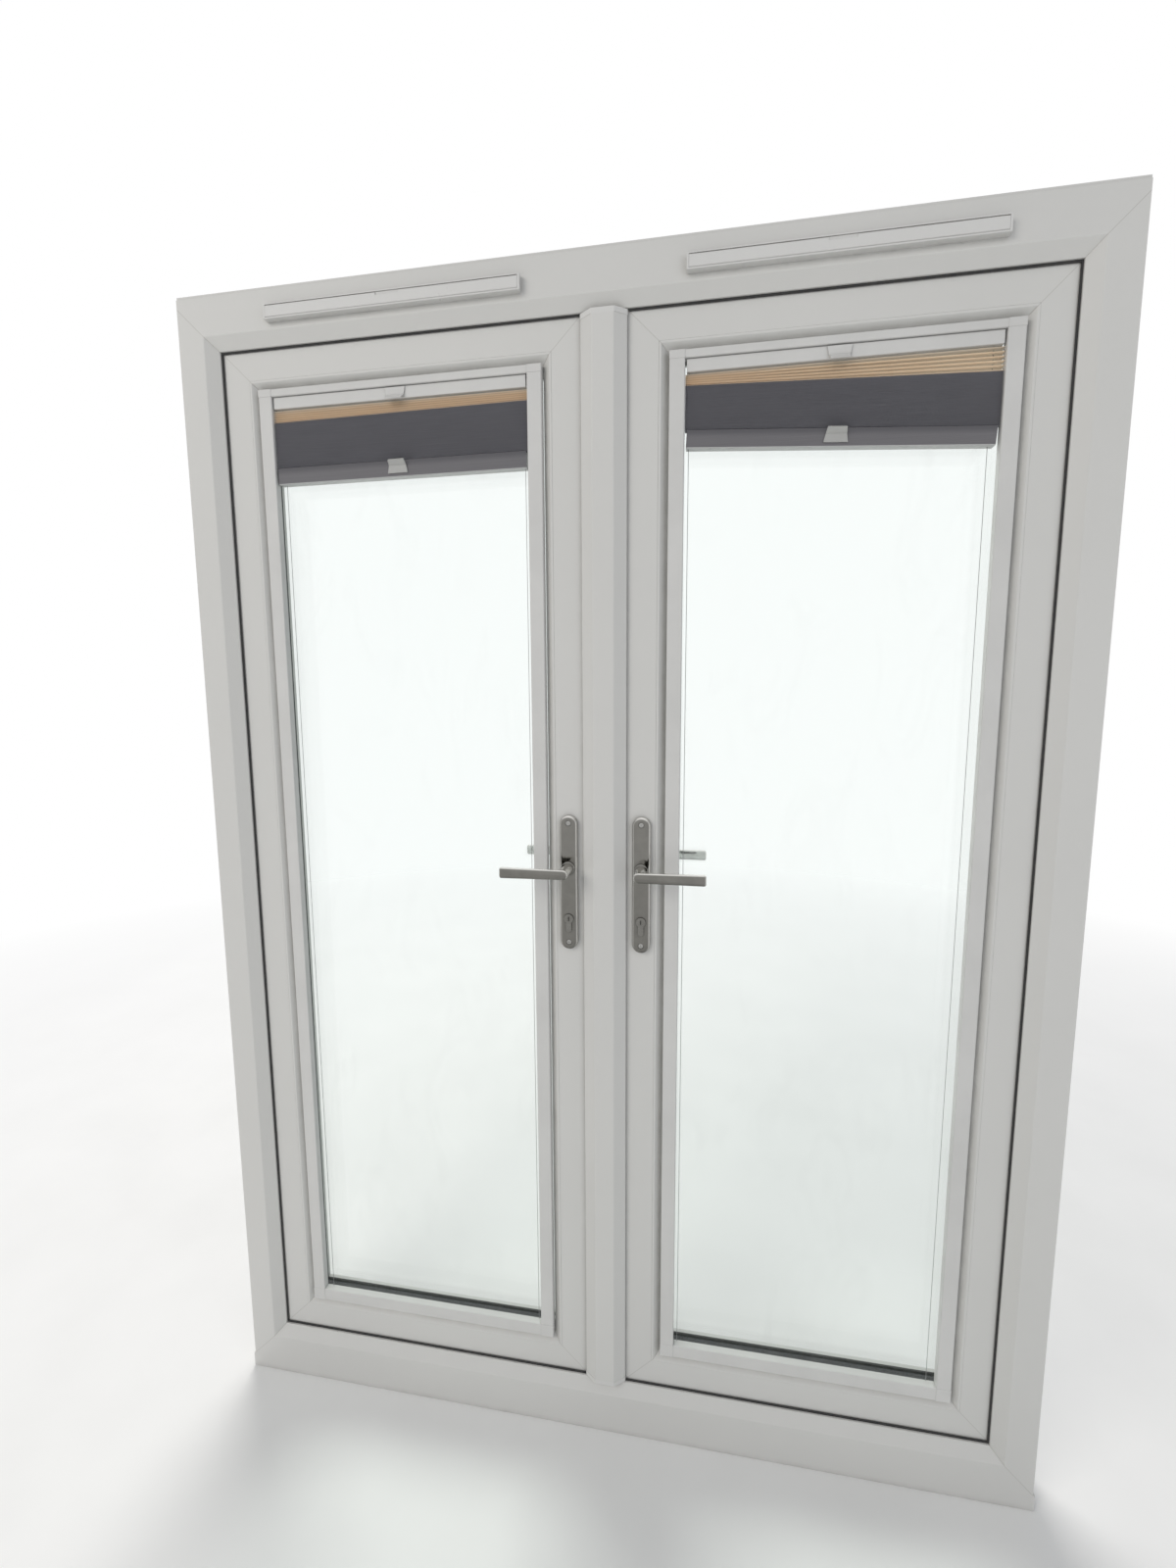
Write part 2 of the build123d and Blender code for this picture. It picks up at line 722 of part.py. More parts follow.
def make_dead_bolt(clearance):
    front = leaf_edge + 0.3
    z = spindle_z - dead_bolt_drop
    half_y = latch_width / 2 + clearance
    half_z = dead_bolt_height / 2 + clearance
    x0 = leaf_edge - 1 if clearance else front
    return block((x0, front + latch_length - 2), (gear_line - half_y, gear_line + half_y),
                 (z - half_z, z + half_z))


def make_drive_bars():
    """Upper and lower bars with roller cams, each with a tongue that runs in the lock case."""
    x0 = leaf_edge + faceplate_thickness + 0.3
    x1 = x0 + bar_thickness
    half = bar_width / 2
    tongue = half - 1.5
    low, high = faceplate_span(True)
    case_top = spindle_z + case_above
    case_bottom = spindle_z - case_below
    upper = block((x0, x1), (gear_line - half, gear_line + half),
                  (case_top + bar_end_gap, high - bar_end_gap - 3))
    upper += block((x0, x1), (gear_line - tongue, gear_line + tongue),
                   (case_top - bar_tongue, case_top + bar_end_gap))
    lower = block((x0, x1), (gear_line - half, gear_line + half),
                  (low + bar_end_gap, case_bottom - bar_end_gap))
    lower += block((x0, x1), (gear_line - tongue, gear_line + tongue),
                   (case_bottom - bar_end_gap, case_bottom + bar_tongue))
    for z in cam_levels():
        cam = rod_x(gear_line, z, (leaf_edge - cam_reach, x0 + 0.5), cam_radius)
        if z > spindle_z:
            upper += cam
        else:
            lower += cam
    return [upper, lower]


def make_shootbolts():
    """Upper and lower rods, drawn back flush with the leaf's ends."""
    x = leaf_edge + shootbolt_inset
    case_top = spindle_z + case_above
    case_bottom = spindle_z - case_below
    upper = rod_z(x, gear_line, (case_top - rod_in_case, sight_high + leaf_lap - 0.5), shootbolt_radius)
    lower = rod_z(x, gear_line, (sight_low - leaf_lap + 0.5, case_bottom + rod_in_case), shootbolt_radius)
    return [chamfer(upper.edges().group_by(Axis.Z)[-1], 1.0), chamfer(lower.edges().group_by(Axis.Z)[0], 1.0)]


def make_shootbolt_keeps():
    x = -leaf_edge - shootbolt_inset
    keeps = []
    for low, high in ((rebate_low, rebate_low + 3), (rebate_high - 3, rebate_high)):
        keep = block((x - keep_half_length, x + keep_half_length),
                     (gear_line - keep_half_width, gear_line + keep_half_width), (low, high))
        keep = fillet(keep.edges().filter_by(Axis.Z), 4.0)
        slot = shootbolt_slot((low - 1, high + 1))
        keeps.append(keep - fillet(slot.edges().filter_by(Axis.Z), 2.0))
    return keeps


# Floating mullion

def mullion_outline(grow):
    half = mullion_width / 2 + grow
    slope = mullion_nose
    return [
        (-half, frame_room + nose_depth), (slope - half, frame_room), (half - slope, frame_room),
        (half, frame_room + nose_depth), (half, flange_back), (web_edge, flange_back),
        (web_edge, frame_outer), (-leaf_edge, frame_outer), (-leaf_edge, flange_back), (-half, flange_back),
    ]


def mullion_bolt_pockets():
    half = latch_width / 2 + strike_clearance
    latch_half = latch_height / 2 + 2
    dead_half = dead_bolt_height / 2 + 2
    dead_z = spindle_z - dead_bolt_drop
    y = (gear_line - half, gear_line + half)
    return [block((web_edge - 6, web_edge + 4), y, (spindle_z - latch_half, spindle_z + latch_half)),
            block((web_edge - 11, web_edge + 4), y, (dead_z - dead_half, dead_z + dead_half))]


def pocket_levels():
    boxes = [pocket.bounding_box() for pocket in mullion_bolt_pockets()]
    return [box.min.Z for box in boxes] + [box.max.Z for box in boxes]


def strike_span():
    return spindle_z - dead_bolt_drop - strike_below, spindle_z + strike_above


def make_mullion():
    """Chamfered cover on the room side, and the web behind it with a strike block let into its length."""
    low = sight_low + cap_gap + cap_length
    high = sight_high - cap_gap - cap_length
    outline = mullion_outline(0)
    cover = section(outline[:5] + outline[9:], {0: 1.5, 1: 5, 2: 5, 3: 1.5})
    web = section(outline[5:9], {1: 1})
    cover = extrude(Plane(origin=(0, 0, low)) * cover, amount=high - low)
    web = extrude(Plane(origin=(0, 0, low)) * web, amount=high - low)
    return [cover, *in_lengths(web - mullion_bolt_pockets(), Axis.Z, [*strike_span(), *pocket_levels()])]


def make_mullion_caps():
    caps = []
    profile = section(mullion_outline(0.8), {0: 1.5, 1: 5, 2: 5, 3: 1.5})
    levels = ((sight_low + cap_gap, sight_low - leaf_lap, sight_low + cap_gap + cap_length),
              (sight_high - cap_gap - cap_length, sight_high - cap_gap - cap_length, sight_high + leaf_lap))
    for start, web_low, web_high in levels:
        cap = extrude(Plane(origin=(0, 0, start)) * profile, amount=cap_length)
        cap += block((-leaf_edge, web_edge), (leaf_room, frame_outer), (web_low, web_high))
        caps.append(cap)
    return caps


def make_mullion_gaskets():
    half = mullion_width / 2
    low = sight_low + cap_gap + cap_length
    high = sight_high - cap_gap - cap_length
    moving = [(half - 10, flange_back), (half - 2, flange_back), (half - 3.5, leaf_room - running_gap),
              (half - 8, leaf_room - running_gap)]
    fixed = [(-half + 2, flange_back), (-half + 10, flange_back), (-half + 9, leaf_room),
             (-half + 3, leaf_room)]
    base = Plane(origin=(0, 0, low))
    return [extrude(base * section(points, {}), amount=high - low) for points in (moving, fixed)]


def make_keeps():
    """Cam keeps with a lip on the outdoor side, and a strike plate for the latch and dead bolt."""
    plate = (web_edge, web_edge + keep_thickness)
    keeps = []
    for z in cam_levels():
        keep = block(plate, (gear_line - 9, gear_line + 14), (z - 30, z + 44))
        keep = fillet(keep.edges().filter_by(Axis.X), 3.0)
        lip = block((web_edge, web_edge + keep_lip),
                    (gear_line + cam_radius + 0.5, gear_line + cam_radius + 4.5),
                    (z + cam_radius + 5, z + 38))
        lead = lip.edges().filter_by(Axis.X).sort_by(Axis.Z)[0:2].sort_by(Axis.Y)[0]
        keeps.append(keep + chamfer(lead, 2.0))
    strike = block(plate, (gear_line - 11, gear_line + 14), strike_span())
    strike = fillet(strike.edges().filter_by(Axis.X), 3.0)
    return keeps + in_lengths(strike - mullion_bolt_pockets(), Axis.Z, pocket_levels())


# Pleated blinds

blind_front = leaf_room - blind_frame_front
blind_back = blind_front + blind_frame_depth
blind_x0 = sight_meeting + daylight + 0.2 + blind_rail_face
blind_x1 = sight_right - daylight - 0.2 - blind_rail_face
blind_low = sight_low + daylight + 0.2 + blind_rail_face
blind_high = sight_high - daylight - 0.2 - blind_head_face
rail_x0 = blind_x0 + blind_side_gap
rail_x1 = blind_x1 - blind_side_gap
rail_front = blind_front + 3.5
rail_back = rail_front + 16.0
fabric_top = blind_high - 0.5 - upper_rail_height
blind_middle = (blind_x0 + blind_x1) / 2


def make_blind_frame():
    """Four rails joined by corner clips, seated inside the glazing beads."""
    out_x0 = blind_x0 - blind_rail_face
    out_x1 = blind_x1 + blind_rail_face
    out_low = blind_low - blind_rail_face
    out_high = blind_high + blind_head_face
    depth = (blind_front, blind_back)
    rails = []
    for x in ((out_x0, blind_x0), (blind_x1, out_x1)):
        rail = block(x, depth, (blind_low, blind_high))
        rails.append(fillet(rail.edges().filter_by(Axis.Z).group_by(Axis.Y)[0], 2.0))
    for z in ((out_low, blind_low), (blind_high, out_high)):
        rail = block((blind_x0, blind_x1), depth, z)
        rails.append(fillet(rail.edges().filter_by(Axis.X).group_by(Axis.Y)[0], 2.0))
    foot_depth = (blind_back - 1, bead_back - running_gap)
    foot_x = ((out_x0, out_x0 + clip_foot), (out_x1 - clip_foot, out_x1))
    for x, foot in zip(((out_x0, blind_x0), (blind_x1, out_x1)), foot_x):
        for z in ((out_low, blind_low), (blind_high, out_high)):
            clip = block(x, (blind_front - 0.6, blind_back), z)
            clip = fillet(clip.faces().sort_by(Axis.Y)[0].edges(), 1.0)
            rails.append(clip + block(foot, foot_depth, z))
    return rails


def finger_tab(lip_up):
    """Clear tab at the origin: a plate on the rail's face with a lip that flares out to pull by."""
    rise = 1 if lip_up else -1
    face = rail_front
    outline = [(face, -8 * rise), (face, 6 * rise), (face - tab_projection + 1.5, 13 * rise),
               (face - tab_projection, 11.5 * rise), (face - 2.5, 4 * rise), (face - 2, -8 * rise)]
    tab = along_x(section(outline, {}), (-tab_width / 2, tab_width / 2))
    half = tab_width / 2
    taper = [(-half, -8 * rise), (half, -8 * rise), (half - 4, 13 * rise), (4 - half, 13 * rise)]
    sides = along_y(make_face(Polyline(*taper, close=True)), (face - tab_projection - 1, face + 1))
    return tab & sides


def make_upper_rail():
    rail = block((rail_x0, rail_x1), (rail_front, rail_back), (fabric_top, fabric_top + upper_rail_height))
    rail = fillet(rail.edges().filter_by(Axis.X), 1.5)
    return rail + Pos(blind_middle, 0, fabric_top + upper_rail_height / 2) * finger_tab(False)


def rail_level(x, tilt):
    """Top of the bottom rail, which drops towards the hinges where the rail hangs crooked."""
    stack = open_pleats * open_pleat_pitch + packed_pleats * packed_pleat_pitch
    return fabric_top - stack - tan(radians(tilt)) * (x - blind_middle)


def make_bottom_rail(tilt):
    half = (rail_x1 - rail_x0) / 2 - 1
    rail = block((-half, half), (rail_front, rail_back), (-bottom_rail_height, 0))
    rail = fillet(rail.edges().filter_by(Axis.X), 1.5)
    rail += Pos(0, 0, -bottom_rail_height / 2) * finger_tab(True)
    return Pos(blind_middle, 0, rail_level(blind_middle, tilt) - fabric_gap) * Rot(0, tilt, 0) * rail


def fabric_outline(total):
    """Zigzag outline of (y, z): a few open pleats at the top, then the packed ones."""
    open_stack = open_pleats * open_pleat_pitch
    open_total = total * open_stack / (open_stack + packed_pleats * packed_pleat_pitch)
    half_pleat = (total - open_total) / (2 * packed_pleats)
    top = fabric_top - fabric_gap
    levels = [top - open_total * i / (2 * open_pleats) for i in range(2 * open_pleats)]
    levels += [top - open_total - half_pleat * i for i in range(2 * packed_pleats + 1)]
    middle = (rail_front + rail_back) / 2
    swing = (pleat_depth - fabric_fold) / 2
    front = [(middle - fabric_fold / 2 + (-swing if i % 2 else swing), z) for i, z in enumerate(levels)]
    back = [(y + fabric_fold, z) for y, z in front]
    return front + back[::-1]


def make_fabric(tilt):
    """Folded sheet between the rails. Its folds fan out where the bottom rail hangs crooked."""
    ends = []
    for x in (rail_x0 + 1, rail_x1 - 1):
        total = fabric_top - rail_level(x, tilt) - 2 * fabric_gap
        ends.append([Vector(x, y, z) for y, z in fabric_outline(total)])
    near, far = ends
    faces = [make_face(Polyline(*end, close=True)).face() for end in ends]
    for i in range(len(near)):
        j = (i + 1) % len(near)
        faces.append(make_face(Polyline(near[i], near[j], far[j], close=True)).face())
        faces.append(make_face(Polyline(near[i], far[j], far[i], close=True)).face())
    return Solid(Shell(faces))


# Write every piece

def save_leaf(side, master, tilt):
    def place(shape):
        return shape if side == "right" else mirror(shape, about=Plane.YZ)

    def keep(name, *shapes):
        save(f"{side}_{name}", *[place(shape) for shape in shapes])

    keep("sash", *make_sash(master))
    keep("glazing_beads", *make_beads())
    keep("inner_pane", pane(inner_pane_y))
    keep("outer_pane", pane(outer_pane_y))
    keep("spacer", make_spacer())
    keep("leaf_gaskets", *make_leaf_gaskets())
    keep("glazing_packers", *make_packers())
    keep("leaf_hinges", *[make_leaf_hinge(z) for z in hinge_levels()])
    room_plate = make_room_plate()
    keep("inner_handle_plate", room_plate)
    keep("outer_handle_plate", mirror(room_plate, about=Plane.XZ))
    room_lever = make_room_lever()
    keep("inner_lever", room_lever)
    keep("outer_lever", mirror(room_lever, about=Plane.XZ))
    keep("lever_spindle", *make_spindle())
    keep("lock_cylinder", make_cylinder())
    keep("lock_case", make_lock_case(master))
    keep("blind_frame", *make_blind_frame())
    keep("blind_upper_rail", make_upper_rail())
    keep("blind_bottom_rail", make_bottom_rail(tilt))
    keep("blind_fabric", make_fabric(tilt))
    if master:
        keep("drive_bars", *make_drive_bars())
        keep("latch_bolt", make_latch(0))
        keep("dead_bolt", make_dead_bolt(0))
    else:
        upper, lower = make_shootbolts()
        keep("upper_shootbolt", upper)
        keep("lower_shootbolt", lower)


save("outer_frame", *make_frame())
save("head_extension", make_extension())
save("cill", make_cill())
save("cill_end_caps", *both_sides(make_cill_cap()))
save("frame_gasket", make_frame_gasket())
save("drain_covers", *both_sides(make_drain_cover()))
save("vent_bodies", *both_sides(make_vent_body()))
save("vent_canopies", *both_sides(make_vent_canopy()))
save("left_vent_flap", mirror(make_vent_flap(), about=Plane.YZ))
save("right_vent_flap", make_vent_flap())
save("frame_hinges", *[half for z in hinge_levels() for half in both_sides(make_frame_hinge(z))])
save("hinge_pins", *[pin for z in hinge_levels() for pin in both_sides(make_hinge_pin(z))])
save("shootbolt_keeps", *make_shootbolt_keeps())
save("french_mullion", *make_mullion())
save("mullion_end_caps", *make_mullion_caps())
save("mullion_gaskets", *make_mullion_gaskets())
save("mullion_keeps", *make_keeps())
save_leaf("right", True, right_blind_tilt)
save_leaf("left", False, 0.0)
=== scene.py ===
# White french doors seen from the room, with chrome levers, trickle vents and raised pleated blinds.
import math
import random

import bmesh
import bpy
from mathutils import Matrix, Vector


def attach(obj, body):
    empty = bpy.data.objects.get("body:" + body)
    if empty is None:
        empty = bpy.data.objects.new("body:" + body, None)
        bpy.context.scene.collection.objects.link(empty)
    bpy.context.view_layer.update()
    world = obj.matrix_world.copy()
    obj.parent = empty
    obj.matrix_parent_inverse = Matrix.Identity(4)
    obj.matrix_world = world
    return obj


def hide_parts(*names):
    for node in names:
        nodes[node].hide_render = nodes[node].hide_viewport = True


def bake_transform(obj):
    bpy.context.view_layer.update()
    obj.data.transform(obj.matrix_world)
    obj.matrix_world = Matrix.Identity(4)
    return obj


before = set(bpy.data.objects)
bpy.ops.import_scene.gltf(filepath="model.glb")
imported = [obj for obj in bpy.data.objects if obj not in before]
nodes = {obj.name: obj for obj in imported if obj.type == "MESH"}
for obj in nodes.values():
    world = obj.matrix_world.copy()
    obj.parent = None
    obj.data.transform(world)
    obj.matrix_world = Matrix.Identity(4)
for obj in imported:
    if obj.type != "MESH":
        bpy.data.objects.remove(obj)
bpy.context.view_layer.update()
random.seed(7)

MM = 0.001
SIDES = {"right": 1, "left": -1}
FACES = {"inner": -1, "outer": 1}

# Rectangles that the profiles run round: lowest x, highest x, lowest z, highest z, in metres
FRAME_RING = (-0.750, 0.750, 0.030, 2.080)
LEAF_RING = {"right": (0.0375, 0.682, 0.098, 2.012), "left": (-0.682, -0.0375, 0.098, 2.012)}

# Bottom rails of the blinds, in metres: the height of a rail's foot is taken at RAIL_X
RAIL_TILT = {"right": math.radians(3.3), "left": 0.0}
RAIL_FOOT = {"right": 1.7994, "left": 1.7861}
RAIL_X = 0.1311
RAIL_TAB_FRONT = -0.0338


# Node helpers

class Nodes:
    """Short calls that add nodes to a tree."""

    def __init__(self, tree):
        self.tree = tree

    def node(self, kind):
        return self.tree.nodes.new(kind)

    def put(self, socket, value):
        """A number or a colour is set on the socket, and another node's output is linked to it."""
        if isinstance(value, tuple) and socket.type == "RGBA":
            socket.default_value = (*value, 1)
        elif isinstance(value, (int, float, tuple)):
            socket.default_value = value
        else:
            self.tree.links.new(value, socket)

    def math(self, operation, a, b=0.0):
        node = self.node("ShaderNodeMath")
        node.operation = operation
        self.put(node.inputs[0], a)
        self.put(node.inputs[1], b)
        return node.outputs[0]

    def plus(self, a, b):
        return self.math("ADD", a, b)

    def minus(self, a, b):
        return self.math("SUBTRACT", a, b)

    def times(self, a, b):
        return self.math("MULTIPLY", a, b)

    def least(self, a, b):
        return self.math("MINIMUM", a, b)

    def most(self, a, b):
        return self.math("MAXIMUM", a, b)

    def apart(self, a, b):
        """How far two values are from each other."""
        return self.math("ABSOLUTE", self.minus(a, b))

    def shader(self, kind, **values):
        """Output of a new shader node, with its sockets set by their names."""
        node = self.node(kind)
        for socket, value in values.items():
            self.put(node.inputs[socket], value)
        return node.outputs[0]

    def mix_shaders(self, factor, a, b):
        node = self.node("ShaderNodeMixShader")
        self.put(node.inputs["Fac"], factor)
        self.put(node.inputs[1], a)
        self.put(node.inputs[2], b)
        return node.outputs[0]

    def seen_rays(self):
        """1 for rays that show what is behind the object, also in metal and glass, and 0 for the others."""
        rays = self.node("ShaderNodeLightPath").outputs
        return self.most(rays["Is Camera Ray"], self.most(rays["Is Glossy Ray"], rays["Is Transmission Ray"]))


class Shader(Nodes):
    """A material with a Principled surface and the patterns that feed it."""

    def __init__(self, name):
        self.material = bpy.data.materials.new(name)
        self.material.use_nodes = True
        super().__init__(self.material.node_tree)
        self.principled = self.tree.nodes["Principled BSDF"]
        self.surface = self.principled.outputs[0]
        self.coords = self.node("ShaderNodeTexCoord").outputs["Object"]

    def set(self, **values):
        names = {"base": "Base Color", "metal": "Metallic", "rough": "Roughness", "ior": "IOR",
                 "transmission": "Transmission Weight", "coat": "Coat Weight", "coat_rough": "Coat Roughness",
                 "specular": "Specular IOR Level", "sheen": "Sheen Weight"}
        for key, value in values.items():
            self.put(self.principled.inputs[names[key]], value)
        return self

    def show(self, shader):
        """This shader, which may hold the surface in it, becomes the material's output."""
        self.put(self.tree.nodes["Material Output"].inputs["Surface"], shader)

    def axes(self, vector=None):
        node = self.node("ShaderNodeSeparateXYZ")
        self.put(node.inputs[0], vector or self.coords)
        return node.outputs

    def vector(self, *values):
        node = self.node("ShaderNodeCombineXYZ")
        for socket, value in zip(node.inputs, values):
            self.put(socket, value)
        return node.outputs[0]

    def scaled(self, *scale):
        node = self.node("ShaderNodeMapping")
        self.put(node.inputs["Vector"], self.coords)
        self.put(node.inputs["Scale"], scale)
        return node.outputs[0]

    def noise(self, scale, detail=3.0, roughness=0.5, vector=None, distortion=0.0):
        node = self.node("ShaderNodeTexNoise")
        self.put(node.inputs["Vector"], vector or self.coords)
        self.put(node.inputs["Scale"], scale)
        self.put(node.inputs["Detail"], detail)
        self.put(node.inputs["Roughness"], roughness)
        self.put(node.inputs["Distortion"], distortion)
        return node.outputs["Fac"]

    def spread(self, value, low, high, to_low=0.0, to_high=1.0):
        """The value's range from low to high, spread from to_low to to_high and cut off there."""
        node = self.node("ShaderNodeMapRange")
        self.put(node.inputs["Value"], value)
        self.put(node.inputs["From Min"], low)
        self.put(node.inputs["From Max"], high)
        self.put(node.inputs["To Min"], to_low)
        self.put(node.inputs["To Max"], to_high)
        return node.outputs[0]

    def mix(self, factor, a, b):
        """Colour a where the factor is 0, b where it is 1."""
        node = self.node("ShaderNodeMix")
        node.data_type = "RGBA"
        self.put(node.inputs["Factor"], factor)
        colours = [socket for socket in node.inputs if socket.type == "RGBA"]
        self.put(colours[0], a)
        self.put(colours[1], b)
        return next(socket for socket in node.outputs if socket.type == "RGBA")

    def bump(self, height, strength, distance):
        node = self.node("ShaderNodeBump")
        self.put(node.inputs["Strength"], strength)
        self.put(node.inputs["Distance"], distance)
        self.put(node.inputs["Height"], height)
        self.put(self.principled.inputs["Normal"], node.outputs[0])

    def corners(self, distance, low=0.55):
        """1 in tight corners, 0 in the open, from ambient occlusion: the mask for painted corner shade."""
        node = self.node("ShaderNodeAmbientOcclusion")
        node.samples = 6
        self.put(node.inputs["Distance"], distance)
        return self.minus(1.0, self.spread(node.outputs["AO"], low, 0.95))


def darker(tint, share):
    return tuple(channel * share for channel in tint)


# Materials. Noise scales are per metre, and distances are in metres.

def plastic(name, tint, ring=None, lines=0.35, rough=0.3):
    """Satin white extruded plastic: fine die lines along each bar, a weld seam at each mitre, faint grime.
    Tight corners get painted shade.
    """
    s = Shader(name).set(ior=1.5, coat=0.12, coat_rough=0.18)
    warm = (tint[0] * 0.99, tint[1] * 0.965, tint[2] * 0.92)
    cloud = s.noise(2.2, 4.0, 0.6)
    grime = s.noise(24.0, 5.0, 0.65)
    colour = s.mix(s.spread(cloud, 0.35, 0.7), tint, darker(tint, 0.97))
    # Painted shade in tight corners, broken up by the grime pattern.
    grime_and_corner_shade = s.times(s.corners(0.012), s.spread(grime, 0.3, 0.7, 0.25, 0.9))
    colour = s.mix(s.times(grime_and_corner_shade, 0.5), colour, darker(warm, 0.55))
    height = s.times(s.noise(900.0, 2.0), 0.25)
    if ring:
        x0, x1, z0, z1 = ring
        x, y, z = s.axes()
        side = s.least(s.apart(x, x0), s.apart(x1, x))
        end = s.least(s.apart(z, z0), s.apart(z1, z))
        across = s.times(s.least(side, end), 1400.0)
        along = s.times(s.most(side, end), 1.4)
        streak = s.noise(1.0, 3.0, 0.6, s.vector(across, s.times(y, 900.0), along))
        height = s.plus(height, s.times(streak, lines))
        seam = s.minus(1.0, s.spread(s.apart(side, end), 0.0003, 0.0011))
        height = s.minus(height, s.times(seam, 1.6))
        colour = s.mix(s.times(seam, 0.55), colour, darker(warm, 0.62))
    else:
        streak = s.noise(1.0, 3.0, 0.6, s.scaled(1300.0, 900.0, 1.4))
        height = s.plus(height, s.times(streak, lines * 0.6))
    s.set(base=colour, rough=s.spread(grime, 0.3, 0.7, rough, rough + 0.035))
    s.bump(height, 0.16, 0.0004)
    return s.material


def rubber(name):
    """Black rubber, greyed by dust."""
    s = Shader(name).set(ior=1.5)
    dust = s.spread(s.noise(60.0, 4.0, 0.6), 0.35, 0.75)
    colour = s.mix(dust, (0.012, 0.012, 0.013), (0.045, 0.044, 0.042))
    s.set(base=colour, rough=s.spread(dust, 0.0, 1.0, 0.45, 0.75))
    s.bump(s.noise(1500.0, 2.0), 0.2, 0.0003)
    return s.material


def chrome(name, tint):
    """Polished plate, darker on its faces, with faint wipe marks. Edges that face up or sideways get a
    painted highlight, and tight corners painted shade.
    """
    s = Shader(name).set(metal=1.0)
    smear = s.noise(38.0, 5.0, 0.62, distortion=0.6)
    scratch = s.noise(1.0, 3.0, 0.7, s.scaled(260.0, 260.0, 2600.0))
    colour = s.mix(s.spread(smear, 0.35, 0.7), tint, darker(tint, 0.86))
    # Edges that face up or sideways get a painted highlight.
    normal = s.axes(s.node("ShaderNodeTexCoord").outputs["Normal"])
    sideways_highlight = s.spread(s.math("ABSOLUTE", normal["X"]), 0.3, 0.8, 0.0, 0.75)
    painted_edge_highlight = s.most(s.spread(normal["Z"], 0.15, 0.75), sideways_highlight)
    colour = s.mix(painted_edge_highlight, colour, (0.86, 0.85, 0.82))
    # Painted shade in tight corners.
    colour = s.mix(s.times(s.corners(0.008, 0.35), 0.85), colour, darker(tint, 0.2))
    gloss = s.spread(smear, 0.4, 0.75, 0.049, 0.154)
    s.set(base=colour, rough=s.plus(gloss, s.times(scratch, 0.03)))
    s.bump(scratch, 0.03, 0.0002)
    return s.material


def steel(name, tint=(0.55, 0.55, 0.53), rough=0.32, grain=(600.0, 600.0, 30.0)):
    """Zinc plated or satin steel with a drawn grain."""
    s = Shader(name).set(metal=1.0)
    lines = s.noise(1.0, 4.0, 0.6, s.scaled(*grain))
    patch = s.noise(45.0, 4.0, 0.6)
    gloss = s.spread(lines, 0.3, 0.7, rough - 0.08, rough + 0.1)
    colour = s.mix(s.spread(patch, 0.35, 0.7), tint, darker(tint, 0.8))
    s.set(base=colour, rough=s.plus(gloss, s.times(patch, 0.06)))
    s.bump(lines, 0.08, 0.0002)
    return s.material


def painted(name, tint, rough):
    """Powder coat: fine orange peel over metal, with painted shade in its corners."""
    s = Shader(name).set(ior=1.5, coat=0.1, coat_rough=0.25)
    patch = s.noise(9.0, 4.0, 0.6)
    colour = s.mix(s.spread(patch, 0.35, 0.7), tint, darker(tint, 0.94))
    colour = s.mix(s.times(s.corners(0.006), 0.45), colour, darker(tint, 0.5))
    s.set(base=colour, rough=s.spread(patch, 0.3, 0.7, rough - 0.04, rough + 0.08))
    s.bump(s.noise(700.0), 0.18, 0.0003)
    return s.material


def glass(name):
    """Clear float glass, faintly green, with dusty wipe marks. Light passes it without a hard shadow."""
    s = Shader(name).set(base=(0.972, 0.992, 0.984), rough=0.0, ior=1.45, transmission=1.0)
    wiped = s.spread(s.noise(7.0, 5.0, 0.62, s.scaled(1.6, 1.0, 0.7), 1.2), 0.52, 0.8)
    specks = s.spread(s.noise(220.0, 3.0, 0.6), 0.3, 0.8, 0.2, 1.0)
    film = s.shader("ShaderNodeBsdfDiffuse", Color=(0.86, 0.86, 0.84))
    clear = s.shader("ShaderNodeBsdfTransparent", Color=(0.955, 0.975, 0.965))
    pane = s.mix_shaders(s.times(s.times(wiped, specks), 0.045), s.surface, film)
    rays = s.node("ShaderNodeLightPath").outputs
    s.show(s.mix_shaders(s.most(rays["Is Shadow Ray"], rays["Is Diffuse Ray"]), pane, clear))
    return s.material


def dark_spacer(name):
    """Matt dark bar with a fine speckle."""
    s = Shader(name).set(rough=0.5)
    speck = s.noise(500.0, 2.0)
    s.set(base=s.mix(s.spread(speck, 0.4, 0.6), (0.035, 0.037, 0.04), (0.06, 0.063, 0.067)))
    s.bump(speck, 0.15, 0.0002)
    return s.material


def rail(name, side):
    """Dark painted rail, darkened above its foot as painted shade, with a bright lip along the foot as a
    painted highlight and a clear tab in front of it.
    """
    s = Shader(name).set(ior=1.5)
    x, y, z = s.axes()
    drop = s.times(s.minus(s.math("ABSOLUTE", x), RAIL_X), math.tan(RAIL_TILT[side]))
    height = s.minus(z, s.minus(RAIL_FOOT[side], drop))
    lip = s.minus(1.0, s.spread(height, 0.0009, 0.0014))
    tab = s.math("LESS_THAN", y, RAIL_TAB_FRONT)
    grain = s.noise(1.0, 3.0, 0.6, s.scaled(8.0, 900.0, 900.0))
    colour = s.mix(s.spread(grain, 0.3, 0.7), (0.125, 0.121, 0.13), (0.15, 0.146, 0.155))
    # Above its foot the rail is darker: painted shade.
    colour = s.mix(s.spread(height, 0.016, 0.024), colour, (0.085, 0.083, 0.092))
    # The bright lip along the foot is a painted highlight.
    colour = s.mix(lip, colour, (0.5, 0.5, 0.495))
    colour = s.mix(tab, colour, (0.72, 0.72, 0.7))
    s.set(base=colour, transmission=s.times(tab, 0.45), rough=s.spread(grain, 0.3, 0.7, 0.28, 0.42))
    s.bump(grain, 0.1, 0.0002)
    return s.material


